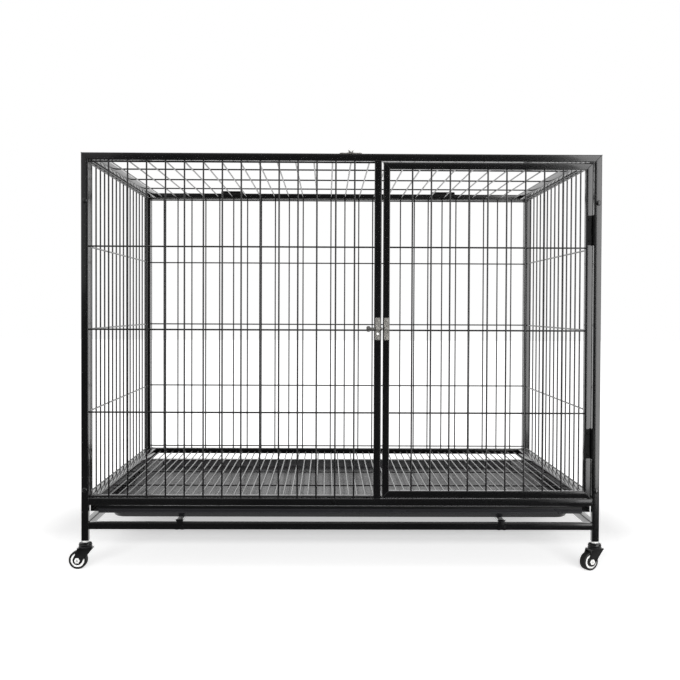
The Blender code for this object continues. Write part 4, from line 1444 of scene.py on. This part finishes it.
@dataclass
class SlideBolt:
    """A plated slide bolt, drawn across the gap at X = 0 as the CAD has it."""

    name: str
    keeper_body: str
    bolt_body: str
    place: Matrix
    length: float
    metal: Coating = Coating.BOLT
    sheet: float = 0.0015
    width: float = 0.011
    height: float = 0.047
    rod: float = 0.0032
    bore: float = 0.0036
    bridge: float = 0.0075
    lug: tuple[float, float] = (0.008, 0.012)
    gap: float = 0.0003
    centre: float = 0.00925
    tip: float = 0.00105
    corner: float = 0.0026
    rivet_drop: float = -0.0102
    screw_z: tuple[float, float] = (-0.0195, 0.0175)

    @property
    def axis(self) -> float:
        """How far in front of the plate's back the rod's middle runs, as a Y."""
        return -(self.gap + self.sheet + self.gap + self.rod)

    def build(self, fasteners: Fasteners) -> None:
        """Builds the plate, the keeper, the bolt and the screws.

        Args:
            fasteners: What sets heads.
        """
        out = outward(self.place)
        for word, sign, body in (("plate", -1, "frame"), ("keeper", 1, self.keeper_body)):
            x, y = sign * self.centre, -self.gap - self.sheet
            shape = bmesh.new()
            self._stamping(shape, x)
            name = f"{self.name}_{word}"
            dress(name + "_stamping", shape, Coating.NICKEL, body, name)
            seats = [(self.place @ Vector((x, y, z)), out) for z in self.screw_z]
            fasteners.place(name + "_screws", SCREW, seats, body, Coating.NICKEL)
            if word == "plate":
                # The plate's rivet takes the bright cap finish, whose near-white colour paints the highlight
                # on its dome.
                seats = [(self.place @ Vector((x, y, self.rivet_drop)), out)]
                fasteners.place(self.name + "_rivet", SCREW, seats, body, Coating.CAP)
        self._bolt()

    def _stamping(self, shape: Shape, x: float) -> None:
        """Adds a plate with rounded ends and the arch that holds the bolt.

        Args:
            shape: The mesh to add to.
            x: The middle of the plate.
        """
        outline = [(x + u, z) for u, z in rounded_rectangle(self.width, self.height, self.corner, 6)]
        plate(shape, outline, self.sheet, self.place @ stood_up(-self.gap), 0.0003)
        axis, face = self.axis, -self.gap - self.sheet
        outer, inner = self.bore + self.sheet * 0.7, self.bore
        half = self.width / 2 - self.sheet
        foot = -self.gap - self.sheet * 0.5
        steps = 14
        line_out = [(foot, self.bridge), (face - 0.0006, self.bridge), (face - 0.0009, outer)]
        ledge = self.bridge - 0.0009
        line_in = [(foot, ledge), (face + 0.0001, ledge), (face + 0.0001, inner)]
        arc = [math.pi / 2 * (1 - 2 * k / steps) for k in range(steps + 1)]
        outline_out = line_out + [(axis - outer * math.cos(a), outer * math.sin(a)) for a in arc]
        outline_in = line_in + [(axis - inner * math.cos(a), inner * math.sin(a)) for a in arc]
        outline_out += [(y, -z) for y, z in reversed(line_out)]
        outline_in += [(y, -z) for y, z in reversed(line_in)]
        section = outline_out + list(reversed(outline_in))
        rings = []
        for side, shrink in ((-1, 0.0003), (-0.94, 0.0), (0.94, 0.0), (1, 0.0003)):
            ring = []
            for index, (y, z) in enumerate(section):
                pull = shrink if index < len(outline_out) else -shrink
                away = Vector((y - axis, z))
                away = away.normalized() * pull if away.length > 1e-6 else away
                ring.append(self.place @ Vector((x + side * half, y - away.x, z - away.y)))
            rings.append(ring)
        skin(shape, rings)

    def _bolt(self) -> None:
        """Builds the rod with its rounded tip and the lug it is drawn by."""
        shape = bmesh.new()
        axis, tip, r = self.axis, self.tip, self.rod
        tail = tip - self.length
        along = Matrix(((0, 0, 1, 0), (0, 1, 0, axis), (-1, 0, 0, 0), (0, 0, 0, 1)))
        profile = [
            (0.0, tail + 0.001), (r * 0.7, tail + 0.001), (r, tail + 0.0018),
            (r, tip - 0.0016), (r * 0.86, tip - 0.0006), (r * 0.5, tip), (0.0, tip),
        ]
        lathe(shape, profile, self.place @ along, 32)
        wide, tall = self.lug
        thick = r * 0.8
        middle = tail - self.gap + (wide + self.gap) / 2
        outline = [(middle + u, z) for u, z in rounded_rectangle(wide + self.gap, tall, 0.0032, 6)]
        plate(shape, outline, thick, self.place @ stood_up(axis + thick / 2), 0.0005)
        dress(self.name + "_rod", shape, self.metal, self.bolt_body, self.name + "_bolt")


@dataclass
class Caster:
    """One swivel caster, drawn with its swivel on local Z and trailing -X."""

    corner: str
    at: Vector
    yaw: float
    wheel_radius: float = 0.019
    wheel_half: float = 0.008
    trail: float = 0.015
    fork_outer: float = 0.011
    head_low: float = 0.045
    head_top: float = 0.0525
    head_radius: float = 0.0135
    leg_bottom: float = 0.060
    nut_radius: float = 0.0062
    nut_sharp: float = 25.0
    ring: tuple[float, float] = (0.0102, 0.0147)
    shoulder: float = 2.2 * MM
    edge: float = 0.0005

    @property
    def name(self) -> str:
        """What the names of its pieces start with."""
        return f"{self.corner}_caster"

    @property
    def swivel(self) -> str:
        """The body of its fork."""
        return f"{self.corner}_swivel"

    @property
    def place(self) -> Matrix:
        """Where it stands on the floor, turned about its swivel."""
        return Matrix.Translation(self.at) @ Matrix.Rotation(math.radians(self.yaw), 4, "Z")

    @property
    def hub(self) -> Matrix:
        """The middle of its wheel, with local Z along the axle."""
        middle = self.place @ Matrix.Translation((-self.trail, 0, self.wheel_radius))
        return middle @ Matrix.Rotation(-math.pi / 2, 4, "X")

    def build(self, frame: dict) -> None:
        """Builds the stem, fork, axle and wheel.
        """
        soften(frame, self.name + "_fork", self.swivel, self.edge)
        self._race()
        self._stem()
        self._axle()
        self._wheel()

    def _race(self) -> None:
        """Builds the pressed cup of the swivel, around the fork's head."""
        r, low, high = self.head_radius, self.head_low, self.head_top
        outer = [
            (r * 0.5, high - 0.0002), (r + 0.0002, high - 0.0002), (r + 0.0007, high - 0.0009),
            (r + 0.0007, high - 0.0026), (r + 0.0001, high - 0.0032), (r + 0.0001, high - 0.0042),
            (r + 0.0009, high - 0.0050), (r + 0.0009, low + 0.0009), (r + 0.0003, low + 0.0002),
            (r * 0.5, low + 0.0002),
        ]
        shape = bmesh.new()
        lathe(shape, outer, self.place, 48, loop=True)
        dress(self.name + "_race", shape, Coating.TUBE, self.swivel)

    def _stem(self) -> None:
        """Builds the black top race, and the bright nut and stud."""
        r, low = self.head_radius, self.head_top + 0.0004
        shape = bmesh.new()
        cap = [
            (0.0, low), (r - 0.0003, low), (r, low + 0.0004), (r - 0.0002, low + 0.0018),
            (r - 0.0022, low + 0.0031), (0.0086, low + 0.0035), (0.0, low + 0.0035),
        ]
        lathe(shape, cap, self.place, 48)
        dress(self.name + "_top_race", shape, Coating.TUBE, "frame")
        shape = bmesh.new()
        nut_low, nut_top = low + 0.0030, self.leg_bottom - 0.0001
        nut = [
            (0.0, nut_low), (0.0079, nut_low), (0.0079, nut_top - 0.0006), (0.0073, nut_top), (0.0, nut_top),
        ]
        lathe(shape, nut, self.place, 6)
        stud_top = self.leg_bottom + 0.0198
        stud = [(0.0, nut_low), (0.0049, nut_low), (0.0049, stud_top - 0.0008), (0.0, stud_top)]
        lathe(shape, stud, self.place, 20)
        dress(self.name + "_nut", shape, Coating.CAP, "frame", self.name + "_stem", sharp=self.nut_sharp)

    def _axle(self) -> None:
        """Builds the axle with a bright hexagonal nut at each end."""
        outer, r = self.fork_outer, self.nut_radius
        nut = [
            (0.0, outer + 0.0001), (r, outer + 0.0001), (r, outer + 0.0014),
            (r * 0.9, outer + 0.0021), (0.0, outer + 0.0021),
        ]
        shape = bmesh.new()
        for turn in (self.hub @ Matrix.Rotation(math.pi, 4, "X"), self.hub):
            lathe(shape, nut, turn, 6)
        name = self.name + "_axle"
        dress(name + "_nuts", shape, Coating.CAP, self.swivel, name, sharp=self.nut_sharp)
        shape = bmesh.new()
        reach = outer + 0.0025
        shaft = [
            (0.0, -reach), (0.0019, -reach), (0.0024, 0.0004 - reach),
            (0.0024, reach - 0.0004), (0.0019, reach), (0.0, reach),
        ]
        lathe(shape, shaft, self.hub, 24)
        dress(name + "_bolt", shape, Coating.ZINC, self.swivel)

    def _wheel(self) -> None:
        """Builds the tyre, the white side ring and the dark hub inside it."""
        r, h, ring, bend = self.wheel_radius, self.wheel_half, self.ring, self.shoulder
        steps = 5
        arc = [math.pi / 2 * k / steps for k in range(steps + 1)]
        edge = [(r - bend * (1 - math.sin(a)), h - bend * (1 - math.cos(a))) for a in arc]
        sides = {
            "tyre": (Coating.TYRE, [(ring[1] - 0.0004, h - 0.0007), (ring[1] + 0.0003, h - 0.0001), *edge]),
            "ring": (Coating.WEB, [
                (ring[0], h - 0.0030), (ring[0], h - 0.0009), (ring[0] + 0.0004, h - 0.0004),
                (ring[1] - 0.0007, h - 0.0004), (ring[1] - 0.0002, h - 0.0008), (ring[1], h - 0.0016),
            ]),
            "hub": (Coating.TYRE, [
                (0.0033, h), (0.0068, h), (0.0074, h - 0.0008), (0.0078, h - 0.0036),
                (0.0084, h - 0.0042), (ring[0] + 0.0002, h - 0.0042),
            ]),
        }
        for word, (coating, upper) in sides.items():
            shape = bmesh.new()
            profile = upper + [(radius, -height) for radius, height in reversed(upper)]
            lathe(shape, profile, self.hub, 64, loop=True)
            nodes = [self.name + "_wheel"] if word == "tyre" else []
            dress(f"{self.name}_{word}", shape, coating, f"{self.corner}_wheel", *nodes)


@dataclass
class Hardware:
    """Hinges, slide bolts, frame bolts, runners, hooks and casters."""

    sizes: CrateSizes
    door_hinge_z: tuple[float, float] = (0.2675, 0.7165)
    lid_hinge_x: tuple[float, float] = (-0.300, 0.300)
    door_pin: Vector = field(default_factory=lambda: Vector((0.529, -0.3663, 0.0)))
    lid_pin: Vector = field(default_factory=lambda: Vector((0.0, 0.3452, 0.8793)))
    door_latch: Vector = field(default_factory=lambda: Vector((0.08525, -0.362, 0.508)))
    lid_latch: Vector = field(default_factory=lambda: Vector((0.018, -0.3455, 0.875)))

    def build(self, frame: dict, fasteners: Fasteners) -> None:
        """Builds all of it.

        Args:
            fasteners: What sets heads.
        """
        FrameBolts(self.sizes).build(fasteners)
        # Lays a part drawn upright on its back: local -Y looks up and local Z runs along -X.
        lay = Matrix(((0, 0, -1, 0), (1, 0, 0, 0), (0, -1, 0, 0), (0, 0, 0, 1)))
        for z, word in zip(self.door_hinge_z, ("lower", "upper")):
            place = Matrix.Translation(self.door_pin + Vector((0, 0, z)))
            ButtHinge(f"{word}_door_hinge", "door", place).build(fasteners)
        for x, word in zip(self.lid_hinge_x, ("left", "right")):
            place = Matrix.Translation(self.lid_pin + Vector((x, 0, 0))) @ lay
            ButtHinge(f"{word}_lid_hinge", "lid", place).build(fasteners)
        place = Matrix.Translation(self.door_latch)
        SlideBolt("door_latch", "door", "door_bolt", place, 0.034).build(fasteners)
        place = Matrix.Translation(self.lid_latch) @ lay
        SlideBolt("lid_latch", "lid", "lid_bolt", place, 0.030, Coating.CAP).build(fasteners)
        for word in ("left", "right"):
            soften(frame, f"{word}_tray_runner", "frame", 0.0003)
            soften(frame, f"{word}_tray_support", "frame", 0.0004)
        yaws = {"front_left": 0.0, "front_right": 25.0, "rear_left": -25.0, "rear_right": 155.0}
        for corner, yaw in yaws.items():
            x = -self.sizes.post_x if corner.endswith("left") else self.sizes.post_x
            y = -self.sizes.end_y if corner.startswith("front") else self.sizes.end_y
            Caster(corner, Vector((x, y, 0.0)), yaw).build(frame)


@dataclass(frozen=True)
class Softbox:
    """A rectangular lamp that looks at one point."""

    name: str
    at: Vector
    aim: Vector
    width: float
    height: float
    radiance: float
    reflection_only: bool = False

    def hang(self) -> None:
        """Hangs the lamp, seen either in reflections or by plain surfaces."""
        lamp = bpy.data.lights.new(self.name, "AREA")
        lamp.shape = "RECTANGLE"
        lamp.size, lamp.size_y = self.width, self.height
        lamp.energy = self.radiance * math.pi * self.width * self.height
        holder = bpy.data.objects.new(self.name, lamp)
        turn = (self.aim - self.at).to_track_quat("-Z", "Y").to_matrix().to_4x4()
        holder.matrix_world = Matrix.Translation(self.at) @ turn
        holder.visible_camera = False
        holder.visible_diffuse = not self.reflection_only
        holder.visible_glossy = self.reflection_only
        bpy.context.scene.collection.objects.link(holder)


def ray_kinds(board: NodeBoard) -> tuple[Signal, Signal]:
    """Reads which kind of ray a shader answers.

    Args:
        board: The shader's board.

    Returns:
        Whether the ray looks straight or through glass, and whether it is a reflection.
    """
    rays = board.raw("ShaderNodeLightPath")
    kinds = ("Camera", "Transmission", "Glossy")
    camera, through, glossy = (Signal(board, rays.outputs[f"Is {kind} Ray"]) for kind in kinds)
    return camera + through, glossy


@dataclass
class Studio:
    """The floor, the light and the camera."""

    eye: Vector = field(default_factory=lambda: Vector((-0.0314, -2.3282, 0.5501)))
    focal_px: float = 937.0
    frame_px: float = 680.0
    principal: tuple[float, float] = (334.62, 325.57)
    pitch: float = 1.032
    yaw: float = 0.491
    roll: float = 0.22
    room_dark: float = 0.05
    floor_glow: float = 0.45
    shadow_reach: float = 0.58
    # Painted light: extra glow on the floor under the crate's front, so the shadow fades sooner there.
    painted_front_glow: float = 0.13
    diffuse_glow: float = 0.22
    floor_half: float = 14.0
    white: tuple[float, ...] = (1.0, 1.0, 1.0, 1.0)

    def build(self) -> None:
        """Builds the studio and makes its camera the scene's."""
        self._floor()
        self._world()
        self._lamps()
        self._camera()
        view = bpy.context.scene.view_settings
        view.view_transform = "Standard"

    def _floor(self) -> None:
        """Lays a pale floor that keeps the crate's shadow and melts into the backdrop."""
        shape = bmesh.new()
        bmesh.ops.create_grid(shape, x_segments=1, y_segments=1, size=self.floor_half)
        mesh = bpy.data.meshes.new("studio_floor")
        shape.to_mesh(mesh)
        shape.free()
        mesh.materials.append(self._floor_material())
        floor = bpy.data.objects.new("studio_floor", mesh)
        bpy.context.scene.collection.objects.link(floor)

    def _floor_material(self) -> bpy.types.Material:
        """Makes the floor's white: lit near the crate, with a painted glow that rises away from it and paints
        light over the crate's shadow there, and a strip of painted glow under the crate's front.

        Returns:
            The material, whose glow reflections see dimmed in front of the crate: a painted dark reflection.
        """
        material = bpy.data.materials.new("studio_white")
        material.use_nodes = True
        material.node_tree.nodes.clear()
        board = NodeBoard(material.node_tree)
        seen, glossy = ray_kinds(board)
        where = board.node("ShaderNodeTexCoord", None, None, "Object")
        along = board.node("ShaderNodeSeparateXYZ", None, {0: where}, "Y")
        # Painted reflection: reflections see the floor's glow dimmed to room_dark in front of the crate, so
        # the low tube faces mirror dark.
        painted_reflection_glow = along.fit(-0.50, -0.10, self.room_dark, 1.0)
        oval = board.stretched(where, (0.85, 1.0, 1.0))
        away = board.node("ShaderNodeVectorMath", {"operation": "LENGTH"}, {0: oval}, "Value")
        # Painted light: the floor glows more the farther it lies from the crate, whitening the crate's shadow
        # there.
        backdrop = away.fit(self.shadow_reach, 1.5 * self.shadow_reach, self.floor_glow, 1.0)
        # The front term adds painted glow on the floor under the crate's front.
        glow = seen * (backdrop + along.fit(-0.16, -0.02, self.painted_front_glow, 0.0)) + glossy * painted_reflection_glow
        matt = board.node("ShaderNodeBsdfDiffuse", None, {"Color": (0.92, 0.92, 0.92, 1.0)})
        none = board.node("ShaderNodeBsdfDiffuse", None, {"Color": (0.0, 0.0, 0.0, 1.0)})
        lit = board.node("ShaderNodeMixShader", None, {0: glossy, 1: matt, 2: none})
        shining = board.node("ShaderNodeEmission", None, {"Color": self.white, "Strength": glow})
        surface = board.node("ShaderNodeAddShader", None, {0: lit, 1: shining})
        board.raw("ShaderNodeOutputMaterial", None, {"Surface": surface})
        return material

    def _world(self) -> None:
        """Surrounds the crate with white, darker behind the camera in reflections."""
        world = bpy.data.worlds.new("studio")
        world.use_nodes = True
        bpy.context.scene.world = world
        world.node_tree.nodes.clear()
        board = NodeBoard(world.node_tree)
        seen, glossy = ray_kinds(board)
        way = board.node("ShaderNodeTexCoord", None, None, "Generated")
        parts = board.raw("ShaderNodeSeparateXYZ", None, {0: way})
        back, up = Signal(board, parts.outputs["Y"]), Signal(board, parts.outputs["Z"])
        behind_camera = back.fit(-0.92, -0.55, self.room_dark, 0.5)
        room = behind_camera + back.fit(0.55, 0.9, 0.0, 0.5) + up.fit(0.4, 0.8, 0.0, 0.4)
        seen = seen.fit(0.0, 1.0)
        strength = seen + (1 - seen) * (glossy * room + (1 - glossy) * self.diffuse_glow)
        surface = board.node("ShaderNodeBackground", None, {"Color": self.white, "Strength": strength})
        board.raw("ShaderNodeOutputWorld", None, {"Surface": surface})

    def _lamps(self) -> None:
        """Hangs soft lamps above and in front, and a reflection card at each side."""
        middle = Vector((0.0, 0.0, 0.4))
        right, left = Vector((0.91, -0.20, 0.80)), Vector((-0.86, -0.20, 1.10))
        lamps = (
            Softbox("top_softbox", Vector((0.0, -0.6, 3.0)), middle, 3.0, 3.0, 0.4),
            Softbox("front_softbox", Vector((0.0, -4.6, 1.35)), middle, 4.4, 0.8, 22.0),
            Softbox("right_card", Vector((1.25, -1.06, 0.80)), right, 1.1, 1.6, 4.0, True),
            Softbox("left_card", Vector((-1.20, -1.06, 1.10)), left, 1.1, 1.0, 0.4, True),
        )
        for lamp in lamps:
            lamp.hang()

    def _camera(self) -> None:
        """Stands the camera where the photograph was taken from."""
        data = bpy.data.cameras.new("photo_camera")
        data.sensor_fit = "HORIZONTAL"
        data.sensor_width = 36.0
        data.lens = self.focal_px / self.frame_px * data.sensor_width
        data.shift_x = (self.frame_px / 2 - self.principal[0]) / self.frame_px
        data.shift_y = -(self.frame_px / 2 - self.principal[1]) / self.frame_px
        data.clip_start, data.clip_end = 0.05, 60.0
        camera = bpy.data.objects.new("photo_camera", data)
        heading = Matrix.Rotation(-math.radians(self.yaw), 4, "Z")
        tilt = Matrix.Rotation(math.radians(90.0 - self.pitch), 4, "X")
        lean = Matrix.Rotation(math.radians(self.roll), 4, "Z")
        camera.matrix_world = Matrix.Translation(self.eye) @ heading @ tilt @ lean
        bpy.context.scene.collection.objects.link(camera)
        bpy.context.scene.camera = camera


def main() -> None:
    """Builds the crate's looks around the frame, then the studio."""
    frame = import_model()
    sizes = CrateSizes()
    beads, panels = weld_bead_tree(), wire_panel_tree()
    fasteners = Fasteners(fastener_tree())
    Cage(sizes).build(beads)
    Wirework(sizes).build(panels)
    Tray().build()
    Hardware(sizes).build(frame, fasteners)
    Studio().build()
    bpy.context.view_layer.update()


if __name__ == "__main__":
    logging.basicConfig(level=logging.INFO, format="%(name)s: %(message)s")
    main()
